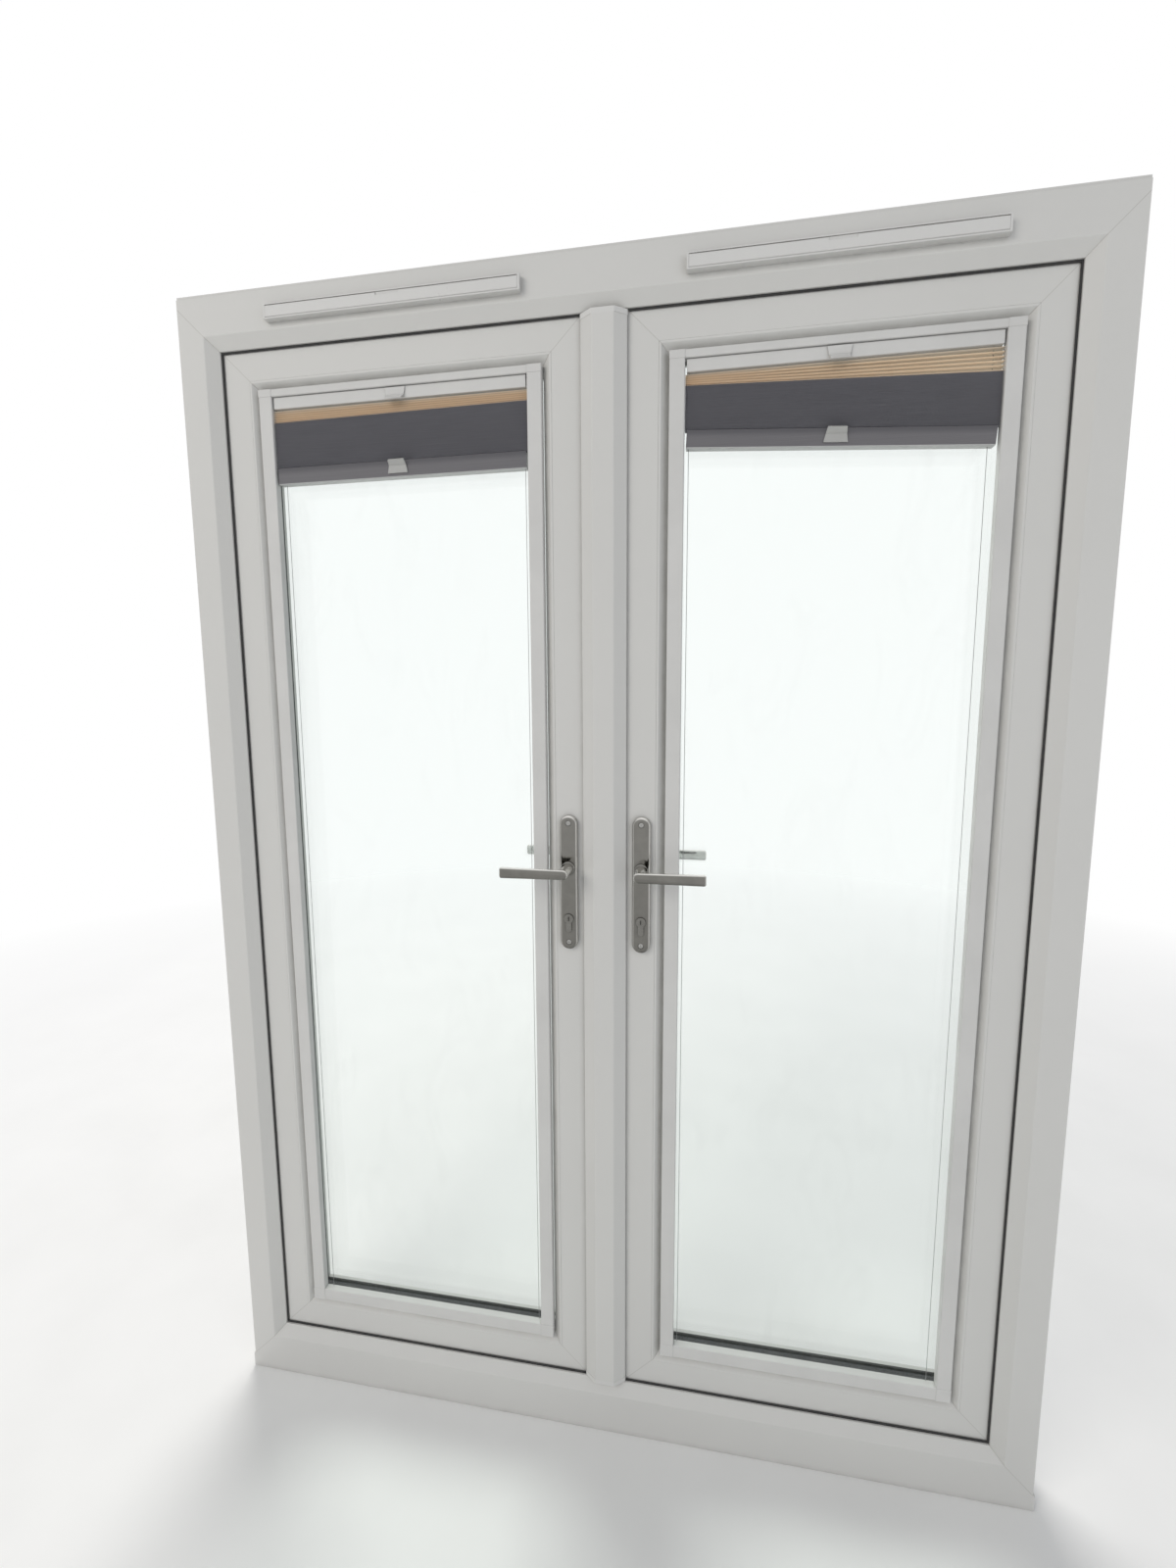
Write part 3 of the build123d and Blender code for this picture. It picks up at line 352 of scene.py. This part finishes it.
def pleated_cloth(name):
    """Woven cloth, tan where the pleats stand open to the light, a painted glow, and slate where they are
    packed, painted shade.
    """
    s = Shader(name).set(sheen=0.25, rough=0.85)
    openness = s.node("ShaderNodeAttribute")
    openness.attribute_name = "openness"
    openness = openness.outputs["Fac"]
    thread = s.noise(1.0, 2.0, 0.6, s.scaled(1600.0, 1600.0, 1600.0))
    slub = s.noise(1.0, 3.0, 0.6, s.scaled(18.0, 500.0, 900.0))
    # Colour by openness: tan on the open pleats is a painted glow of light through them, slate on the packed
    # pleats is painted shade.
    slate = s.mix(s.spread(slub, 0.3, 0.7), (0.40, 0.395, 0.43), (0.47, 0.465, 0.5))
    tan = s.mix(s.spread(slub, 0.3, 0.7), (0.93, 0.81, 0.67), (0.97, 0.88, 0.76))
    # The back folds get painted shade, more where the pleats stand open.
    fold_shade = s.times(s.spread(s.axes()["Y"], -0.031, -0.020), s.spread(openness, 0.0, 1.0, 0.1, 0.6))
    colour = s.mix(fold_shade, s.mix(openness, slate, tan), (0.16, 0.12, 0.09))
    s.set(base=colour)
    s.bump(s.plus(thread, s.times(slub, 0.6)), 0.3, 0.0002)
    through = s.shader("ShaderNodeBsdfTranslucent", Color=colour)
    s.show(s.mix_shaders(s.spread(openness, 0.0, 1.0, 0.12, 0.68), s.surface, through))
    return s.material


def paper(name):
    """Pale floor that fades into the backdrop as it goes away from the object."""
    s = Shader(name).set(rough=0.75, specular=0.2)
    s.set(base=s.mix(s.spread(s.noise(3.0, 4.0), 0.3, 0.7), (0.86, 0.86, 0.85), (0.82, 0.82, 0.81)))
    x, y, _ = s.axes()
    distance = s.math("SQRT", s.plus(s.times(x, x), s.times(y, y)))
    fade = s.times(s.spread(distance, 1.2, 4.5), s.seen_rays())
    s.show(s.mix_shaders(fade, s.surface, s.shader("ShaderNodeEmission")))
    return s.material


WHITE = (0.64, 0.635, 0.615)
mat_caps = plastic("moulded_white", (0.66, 0.655, 0.64), lines=0.1, rough=0.27)
mat_plain = plastic("profile_white", WHITE)
mat_frame = plastic("frame_white", WHITE, FRAME_RING)
mat_leaf = {side: plastic(f"leaf_white_{side}", WHITE, LEAF_RING[side]) for side in SIDES}
mat_rubber = rubber("gasket_rubber")
mat_hinge = painted("hinge_white", (0.65, 0.65, 0.63), 0.3)
mat_blind = painted("blind_white", (0.64, 0.635, 0.62), 0.4)
mat_gear = steel("gear_zinc")
# The nickel cylinder has a dark tint: painted shade, as on the room side's chrome.
mat_cylinder = steel("cylinder_nickel_shaded", (0.22, 0.215, 0.2), 0.2, (900.0, 30.0, 900.0))
mat_screw = steel("screw_steel", (0.42, 0.415, 0.4), 0.22)
mat_brass = steel("bolt_brass", (0.66, 0.5, 0.24), 0.28)
# One chrome on both faces: the room side has a dark tint as painted shade, the outside a paler tint as
# painted light.
mat_chrome_shaded_and_lit = {"inner": chrome("handle_chrome_inner_shaded", (0.2, 0.195, 0.18)),
              "outer": chrome("handle_chrome_outer_lit", (0.52, 0.52, 0.505))}
mat_glass = glass("pane_glass")
mat_spacer = dark_spacer("spacer_dark")
mat_packer = painted("packer_blue", (0.12, 0.2, 0.42), 0.5)
mat_cord = painted("cord_grey", (0.3, 0.3, 0.3), 0.6)
mat_cloth = pleated_cloth("blind_cloth")
mat_rail = {side: rail(f"rail_{side}", side) for side in SIDES}

FIXED_LOOKS = {
    "outer_frame": mat_frame, "head_extension": mat_plain, "cill": mat_plain, "french_mullion": mat_plain,
    "cill_end_caps": mat_caps, "drain_covers": mat_caps, "vent_bodies": mat_caps, "vent_canopies": mat_caps,
    "left_vent_flap": mat_caps, "right_vent_flap": mat_caps, "mullion_end_caps": mat_caps,
    "frame_gasket": mat_rubber, "mullion_gaskets": mat_rubber, "frame_hinges": mat_hinge,
    "hinge_pins": mat_gear, "shootbolt_keeps": mat_gear, "mullion_keeps": mat_gear,
    "right_drive_bars": mat_gear, "right_dead_bolt": mat_gear, "left_upper_shootbolt": mat_gear,
    "left_lower_shootbolt": mat_gear, "right_latch_bolt": mat_brass,
}


def leaf_looks(side):
    return {
        "sash": mat_leaf[side], "glazing_beads": mat_leaf[side], "inner_pane": mat_glass,
        "outer_pane": mat_glass, "spacer": mat_spacer, "leaf_gaskets": mat_rubber,
        "glazing_packers": mat_packer, "leaf_hinges": mat_hinge, "lock_case": mat_gear,
        "lever_spindle": mat_gear, "lock_cylinder": mat_cylinder, "blind_frame": mat_blind,
        "inner_handle_plate": mat_chrome_shaded_and_lit["inner"], "outer_handle_plate": mat_chrome_shaded_and_lit["outer"],
        "inner_lever": mat_chrome_shaded_and_lit["inner"], "outer_lever": mat_chrome_shaded_and_lit["outer"],
        "blind_upper_rail": mat_blind, "blind_bottom_rail": mat_rail[side], "blind_fabric": mat_cloth,
    }


def dress(name, material):
    obj = nodes[name]
    if not obj.data.materials:
        obj.data.materials.append(material)
    for slot in obj.material_slots:
        slot.material = material


for name, material in FIXED_LOOKS.items():
    dress(name, material)
for side in SIDES:
    for part, material in leaf_looks(side).items():
        dress(f"{side}_{part}", material)


# Helpers for the pieces made here in place of plain CAD ones, or added to them

def new_mesh(name, verts, faces, material):
    mesh = bpy.data.meshes.new(name)
    mesh.from_pydata([tuple(v) for v in verts], [], faces)
    mesh.materials.append(material)
    return mesh


def new_object(name, data):
    obj = bpy.data.objects.new(name, data)
    bpy.context.scene.collection.objects.link(obj)
    return obj


def smooth_below(mesh, degrees):
    """Smooth shading, with edges sharper than this angle left sharp."""
    mesh.shade_smooth()
    mesh.set_sharp_from_angle(angle=math.radians(degrees))


def add_piece(name, verts, faces, material, body=None, slot=None, smooth=None):
    """New piece on a body. Without a body it is a tool that is removed after use."""
    mesh = new_mesh(name, verts, faces, material)
    shape = bmesh.new()
    shape.from_mesh(mesh)
    bmesh.ops.recalc_face_normals(shape, faces=shape.faces)
    shape.to_mesh(mesh)
    shape.free()
    if smooth is not None:
        smooth_below(mesh, smooth)
    obj = new_object(name, mesh)
    if body:
        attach(obj, body)
    return obj


def circle(count):
    turns = [2 * math.pi * i / count for i in range(count)]
    return [(math.cos(turn), math.sin(turn)) for turn in turns]


def hull_of_circles(circles, inset, count):
    """Outline round circles (u, v, radius), each made smaller by the inset."""
    outline = []
    for du, dv in circle(count):
        u, v, r = max(circles, key=lambda c: c[0] * du + c[1] * dv + c[2])
        outline.append((u + (r - inset) * du, v + (r - inset) * dv))
    return outline


def loft(rings, closed=False):
    """Skin over rings of equal length, as vertices and faces. Its ends are capped unless it is closed."""
    count = len(rings[0])
    verts = [v for ring in rings for v in ring]
    faces = []
    for i in range(len(rings) if closed else len(rings) - 1):
        a = i * count
        b = (i + 1) % len(rings) * count
        faces += [(a + j, a + (j + 1) % count, b + (j + 1) % count, b + j) for j in range(count)]
    if not closed:
        last = (len(rings) - 1) * count
        faces += [tuple(range(count)), tuple(range(last, last + count))]
    return verts, faces


def joined(parts):
    verts, faces = [], []
    for part_verts, part_faces in parts:
        base = len(verts)
        verts += part_verts
        faces += [tuple(base + i for i in face) for face in part_faces]
    return verts, faces


def carve(obj, cutters):
    """The cutters are taken out of the object's mesh, and removed."""
    for cutter in cutters:
        cut = obj.modifiers.new("cut", "BOOLEAN")
        cut.operation = "DIFFERENCE"
        cut.solver = "EXACT"
        cut.object = cutter
    bpy.context.view_layer.update()
    carved = bpy.data.meshes.new_from_object(obj.evaluated_get(bpy.context.evaluated_depsgraph_get()))
    obj.modifiers.clear()
    obj.data = carved
    for cutter in cutters:
        bpy.data.objects.remove(cutter)


# Frame gasket, in mm, with the lip that shows as a dark line round the leaves. It is cut back at the mullion.

LIP = [(58.0, -38.0), (68.0, -38.0), (70.9, -37.7), (71.4, -36.8), (71.0, -35.9), (69.4, -35.5),
       (60.0, -35.3)]
LIP_CUT = [(min(d, 67.5), y) for d, y in LIP]
MULLION_HALF = 39.0
CUT_STEP = 0.4


def gasket_ring():
    x0, x1, z0, z1 = [v / MM for v in FRAME_RING]
    step = MULLION_HALF + CUT_STEP
    cut = [(-step, LIP), (-MULLION_HALF, LIP_CUT), (MULLION_HALF, LIP_CUT), (step, LIP)]
    stations = [(x0, z0, 1, 1, LIP)]
    stations += [(x, z0, 0, 1, outline) for x, outline in cut]
    stations += [(x1, z0, -1, 1, LIP), (x1, z1, -1, -1, LIP)]
    stations += [(x, z1, 0, -1, outline) for x, outline in reversed(cut)]
    stations.append((x0, z1, 1, -1, LIP))
    rings = []
    for x, z, sx, sz, outline in stations:
        rings.append([Vector((x + sx * d, y, z + sz * d)) * MM for d, y in outline])
    return loft(rings, closed=True)


lip = add_piece("frame_gasket_lip", *gasket_ring(), mat_rubber, "frame", "black_gasket", smooth=35)
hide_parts("frame_gasket")


# Handle plates and levers, in mm. Outlines are circles (u, v, radius), and levels are (height, inset).

PLATE_MIDDLE = 1081.0
SPINDLE_X, SPINDLE_Z = 64.0, 1109.0
CYLINDER_Z = 1017.0
LEAF_FACE = 35.0
PLATE_HULL = [(0, 105, 16), (0, -105, 16)]
PLATE_LEVELS = [(0.0, 0.2), (0.4, 0.0), (5.6, 0.0), (7.3, 0.5), (8.6, 1.5), (9.5, 2.9), (9.9, 4.2),
                (10.0, 5.2)]
PLATE_SCREWS = (107.5, -107.5)
SCREW_SINK = [(7.4, 1.3), (9.2, 0.0), (11.0, 0.0)]
THROUGH = [(-1.0, 0.0), (11.0, 0.0)]
PLATE_HOLES = [([(0, PLATE_MIDDLE + v, 5.0)], SCREW_SINK) for v in PLATE_SCREWS]
PLATE_HOLES += [
    ([(0, SPINDLE_Z, 8.9)], THROUGH),
    ([(0, CYLINDER_Z, 8.8)], THROUGH),
    ([(0, CYLINDER_Z, 5.3), (0, CYLINDER_Z - 19.5, 5.3)], THROUGH),
]
LEVER_HULL = [(0, 0, 8.6), (107, 5.5, 4), (107, -5.5, 4)]
LEVER_LEVELS = [(53.0, 2.6), (53.3, 1.4), (54.2, 0.4), (55.4, 0.0), (59.2, 0.0), (60.6, 0.4), (61.5, 1.3),
                (62.0, 2.8)]
NECK_LEVELS = [(10.2, 10.4), (10.3, 11.3), (10.9, 11.6), (13.2, 11.6), (13.9, 11.2), (14.2, 10.2),
               (14.4, 8.8), (14.9, 8.7), (54.0, 8.7), (55.5, 8.2)]
BODY_POINTS = 96
NECK_POINTS = 48
HOLE_POINTS = 40


def placed(s, f, u, v, h):
    """Point of a handle: u away from the meeting side, v up, h out of the leaf's face."""
    return Vector((s * (SPINDLE_X + u), f * (LEAF_FACE + h), v)) * MM


def handle_body(s, f, middle, hull, levels, count):
    rings = []
    for h, inset in levels:
        rings.append([placed(s, f, u, middle + v, h) for u, v in hull_of_circles(hull, inset, count)])
    return loft(rings)


def lever_neck(s, f):
    """Here a level is (height, radius)."""
    rings = []
    for h, r in NECK_LEVELS:
        rings.append([placed(s, f, r * u, SPINDLE_Z + r * v, h) for u, v in circle(NECK_POINTS)])
    return loft(rings)


for side, s in SIDES.items():
    for place, f in FACES.items():
        shape = handle_body(s, f, PLATE_MIDDLE, PLATE_HULL, PLATE_LEVELS, BODY_POINTS)
        plate = add_piece(f"{side}_{place}_backplate", *shape, mat_chrome_shaded_and_lit[place], f"{side}_leaf",
                          "chrome_handle")
        tools = [handle_body(s, f, 0, hull, levels, HOLE_POINTS) for hull, levels in PLATE_HOLES]
        carve(plate, [add_piece("tool", *tool, mat_chrome_shaded_and_lit["inner"]) for tool in tools])
        smooth_below(plate.data, 28)
        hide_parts(f"{side}_{place}_handle_plate")
        bar = handle_body(s, f, SPINDLE_Z, LEVER_HULL, LEVER_LEVELS, BODY_POINTS)
        shape = joined([bar, lever_neck(s, f)])
        lever = add_piece(f"{side}_{place}_lever_grip", *shape, mat_chrome_shaded_and_lit[place], f"{side}_lever_set",
                          "chrome_handle", smooth=32)
        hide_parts(f"{side}_{place}_lever")


# Screws

SCREW_POINTS = 24


def screw_shape(dome):
    """Screw head of radius 1 standing up z, with a cross recess. Its profile is (height, radius)."""
    rim = 0.02
    profile = [(-0.25, 0.75), (0.0, 1.0)]
    profile += [(rim + dome * share, r) for share, r in ((0.4, 0.97), (0.8, 0.8), (1.0, 0.5))]
    rings = [[Vector((r * x, r * y, z)) for x, y in circle(SCREW_POINTS)] for z, r in profile]
    head = add_piece("head", *loft(rings), mat_gear)
    arms = []
    for half_x, half_y in ((0.1, 0.56), (0.56, 0.1)):
        corners = [(-half_x, -half_y), (half_x, -half_y), (half_x, half_y), (-half_x, half_y)]
        rings = [[Vector((x, y, z)) for x, y in corners] for z in (-0.12, 1.0)]
        arms.append(add_piece("arm", *loft(rings), mat_gear))
    carve(head, arms)
    verts = [v.co.copy() for v in head.data.vertices]
    faces = [tuple(p.vertices) for p in head.data.polygons]
    bpy.data.objects.remove(head)
    return verts, faces


def screws(name, shape, seats, radius, material, body, slot):
    """Screws at seats (x, y, z in mm, axis), each turned a little differently."""
    parts = []
    for x, y, z, axis in seats:
        turn = Vector(axis).to_track_quat("Z", "Y").to_matrix().to_4x4()
        turn = turn @ Matrix.Rotation(random.uniform(0, math.pi / 2), 4, "Z") @ Matrix.Scale(radius * MM, 4)
        verts = [Vector((x, y, z)) * MM + turn @ v for v in shape[0]]
        parts.append((verts, shape[1]))
    return add_piece(name, *joined(parts), material, body, slot, smooth=30)


SCREW_FLAT = screw_shape(dome=0.06)
SCREW_PAN = screw_shape(dome=0.34)

# Seats of the screws, in mm. A hinge hole is (height from the hinge's middle, x).
PLATE_SEAT = LEAF_FACE + 8.9
HINGE_LEVELS = (328.0, 1055.0, 1782.0)
LEAF_HINGE_FACE, FRAME_HINGE_FACE = 38.5, 19.0
LEAF_HINGE_HOLES = [(d, x) for d in (-28, 28) for x in (660, 684)]
FRAME_HINGE_HOLES = [(d, 737) for d in (-34, -12, 12, 34)]
LOCK_Y = -3.0
FACEPLATE_X, KEEP_X = 25.5, 15.0
FACEPLATE_HOLES = (260, 600, 925, 1200, 1510, 1850)
KEEP_HOLES = [z + d for z in (420, 780, 1330, 1690) for d in (-22, 39)] + [1036, 1085, 1128]

hinge_seats = []
for side, s in SIDES.items():
    seats = [(s * SPINDLE_X, f * PLATE_SEAT, PLATE_MIDDLE + v, (0, f, 0))
             for f in FACES.values() for v in PLATE_SCREWS]
    screws(f"{side}_plate_screws", SCREW_FLAT, seats, radius=4.3, material=mat_screw, body=f"{side}_leaf",
           slot="steel_gear")
    seats = [(s * x, LEAF_HINGE_FACE, z + d, (0, 1, 0)) for z in HINGE_LEVELS for d, x in LEAF_HINGE_HOLES]
    screws(f"{side}_leaf_hinge_screws", SCREW_PAN, seats, radius=3.6, material=mat_hinge,
           body=f"{side}_leaf", slot="white_hinge")
    hinge_seats += [(s * x, FRAME_HINGE_FACE, z + d, (0, 1, 0))
                    for z in HINGE_LEVELS for d, x in FRAME_HINGE_HOLES]
screws("frame_hinge_screws", SCREW_PAN, hinge_seats, radius=3.4, material=mat_hinge, body="frame",
       slot="white_hinge")
seats = [(FACEPLATE_X, LOCK_Y, z, (-1, 0, 0)) for z in FACEPLATE_HOLES]
screws("faceplate_screws", SCREW_FLAT, seats, radius=3.3, material=mat_gear, body="right_leaf",
       slot="steel_gear")
seats = [(KEEP_X, LOCK_Y, z, (1, 0, 0)) for z in KEEP_HOLES]
screws("keep_screws", SCREW_FLAT, seats, radius=2.8, material=mat_gear, body="left_leaf",
       slot="steel_gear")

# Blinds, in mm: guide cords and the folded cloth. OPEN_DEPTH is at the cloth's near and far edge.

FABRIC_X = (129.0, 590.4)
FABRIC_TOP = 1909.6
FABRIC_FOOT = {"right": 1826.6, "left": 1814.2}
OPEN_DEPTH = {"right": (15.5, 32.0), "left": (15.5, 18.5)}
CLOTH_SEAM = 1885.6
CLOTH_Y = -25.5
PLEAT_SWING = 6.6
OPEN_FACES = 10
FAN_FACES = {"right": 22, "left": 12}
PACKED_FACES = 122
COLUMNS = 28
FOLD_SHIFT = 0.3
FOLD_LEAN = 0.24
FOLD_SAG = 0.22
FOLD_RIPPLE = 0.06
RIPPLE_TURN = 9
CORD_X = (135.0, 577.0)
CORD_ENDS = (188.0, 1934.0)
CORD_RADIUS = 0.45
CORD_POINTS = 8


def between(ends, t):
    return ends[0] + (ends[1] - ends[0]) * t


def cloth_lines(side, x, t):
    """Heights of the cloth's top, of the end of its open pleats, of its seam and of its foot, at one x."""
    foot = FABRIC_FOOT[side] - (x - RAIL_X / MM) * math.tan(RAIL_TILT[side])
    open_end = FABRIC_TOP - between(OPEN_DEPTH[side], t)
    return FABRIC_TOP, open_end, foot + CLOTH_SEAM - FABRIC_FOOT[side], foot


def jitter(size, count):
    return [random.uniform(-size, size) for _ in range(count)]


def cloth(side, s):
    """Rows of (point, openness) of the sheets above and below the seam.

    Below the seam the pleats lie along the bottom rail.
    """
    counts = (OPEN_FACES, FAN_FACES[side], PACKED_FACES - FAN_FACES[side])
    steps = [(0, 0.0)]
    for part, count in enumerate(counts):
        steps += [(part, (i + 1) / count) for i in range(count)]
    seam_row = counts[0] + counts[1]
    shift = jitter(FOLD_SHIFT, len(steps))
    lean = jitter(FOLD_LEAN, len(steps))
    sag = jitter(FOLD_SAG, len(steps))
    grid = []
    for row, (part, share) in enumerate(steps):
        openness = max(0.0, min(1.0, OPEN_FACES + 1.0 - row))
        swing = PLEAT_SWING if row % 2 else -PLEAT_SWING
        line = []
        for column in range(COLUMNS + 1):
            t = column / COLUMNS
            x = between(FABRIC_X, t)
            z = between(cloth_lines(side, x, t)[part:part + 2], share)
            if row not in (0, seam_row, len(steps) - 1):
                z += sag[row] * math.sin(math.pi * t) + FOLD_RIPPLE * math.sin(RIPPLE_TURN * t + row)
            y = CLOTH_Y + swing + shift[row] + lean[row] * (t - 0.5)
            line.append((Vector((s * x, y, z)) * MM, openness))
        grid.append(line)
    return grid[:seam_row + 1], grid[seam_row:]


def cloth_piece(name, grid):
    """Mesh of one sheet, and its area."""
    width = len(grid[0])
    faces = []
    for row in range(len(grid) - 1):
        for a in range(row * width, row * width + width - 1):
            faces.append((a, a + 1, a + width + 1, a + width))
    points = [point for line in grid for point, openness in line]
    mesh = new_mesh(name, points, faces, mat_cloth)
    share = mesh.attributes.new("openness", "FLOAT", "POINT")
    share.data.foreach_set("value", [openness for line in grid for point, openness in line])
    obj = new_object(name, mesh)
    return obj, sum(face.area for face in mesh.polygons)


def cord(s, x):
    """Thin taut tube from end to end of the blind's frame."""
    around = [(s * x + CORD_RADIUS * u, CLOTH_Y + CORD_RADIUS * v) for u, v in circle(CORD_POINTS)]
    return loft([[Vector((px, py, z)) * MM for px, py in around] for z in CORD_ENDS])


for side, s in SIDES.items():
    upper_rows, lower_rows = cloth(side, s)
    upper, upper_area = cloth_piece(f"{side}_cloth_top", upper_rows)
    lower, lower_area = cloth_piece(f"{side}_pleated_cloth", lower_rows)
    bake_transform(upper)
    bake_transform(lower)
    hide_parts(f"{side}_blind_fabric")
    cords = joined([cord(s, x) for x in CORD_X])
    add_piece(f"{side}_guide_cords", *cords, mat_cord, f"{side}_leaf", "grey_rail", smooth=60)

# Camera at the photograph's viewpoint. Its focal length is in the photograph's pixels.

SENSOR = 36.0
FOCAL_LENGTH, PHOTO_HEIGHT = 671.3, 1600.0
VIEW_RIGHT = Vector((0.98478032, 0.17373067, -0.00503738))
VIEW_DOWN = Vector((0.01646878, -0.1221265, -0.9923779))
VIEW_FORWARD = Vector((-0.17302168, 0.97719127, -0.12312891))
VIEWPOINT = (0.1678, -1.1515, 1.3978)
FAR_LIMIT = 60.0

camera_data = bpy.data.cameras.new("camera")
camera_data.sensor_width = SENSOR
camera_data.lens = FOCAL_LENGTH * SENSOR / PHOTO_HEIGHT
camera_data.clip_end = FAR_LIMIT
camera = new_object("camera", camera_data)
turn = Matrix((VIEW_RIGHT, -VIEW_DOWN, -VIEW_FORWARD)).transposed()
camera.matrix_world = Matrix.Translation(VIEWPOINT) @ turn.to_4x4()
bpy.context.scene.camera = camera

# Stage: pale floor, white surroundings, soft lamps

FLOOR_HALF = 14.0
FLOOR_Z = -0.0005
SKY_TINT = (0.92, 0.95, 1.0)
SKY_STRENGTH = 0.44

world = bpy.data.worlds.new("studio")
bpy.context.scene.world = world
world.use_nodes = True
sky = Nodes(world.node_tree)
light = sky.tree.nodes["Background"]
sky.put(light.inputs["Color"], SKY_TINT)
sky.put(light.inputs["Strength"], SKY_STRENGTH)
backdrop = sky.shader("ShaderNodeBackground", Color=(1, 1, 1), Strength=1.0)
sky.put(sky.tree.nodes["World Output"].inputs["Surface"],
        sky.mix_shaders(sky.seen_rays(), light.outputs[0], backdrop))

corners = [(x * FLOOR_HALF, y * FLOOR_HALF, FLOOR_Z) for x, y in ((-1, -1), (1, -1), (1, 1), (-1, 1))]
floor = new_object("floor", new_mesh("floor", corners, [(0, 1, 2, 3)], paper("floor_paper")))


def lamp(name, place, aim, size, power, colour):
    """Soft rectangular lamp that isn't seen itself."""
    data = bpy.data.lights.new(name, "AREA")
    data.shape = "RECTANGLE"
    data.size, data.size_y = size
    data.energy = power
    data.color = colour
    obj = new_object(name, data)
    obj.location = place
    obj.rotation_euler = (Vector(aim) - Vector(place)).to_track_quat("-Z", "Y").to_euler()
    obj.visible_camera = False
    obj.visible_glossy = False
    obj.visible_transmission = False


lamp("room_key", place=(-2.6, -3.4, 3.2), aim=(0, 0, 1.1), size=(2.6, 2.2), power=72,
     colour=(1.0, 0.96, 0.9))
lamp("room_fill", place=(3.2, -3.0, 1.6), aim=(0, 0, 1.0), size=(2.4, 2.4), power=25,
     colour=(0.95, 0.97, 1.0))
lamp("outdoor", place=(-1.3, 3.2, 5.0), aim=(0, 0, 1.0), size=(3.6, 2.6), power=215,
     colour=(1.0, 0.98, 0.95))

bpy.context.scene.view_settings.view_transform = "Standard"
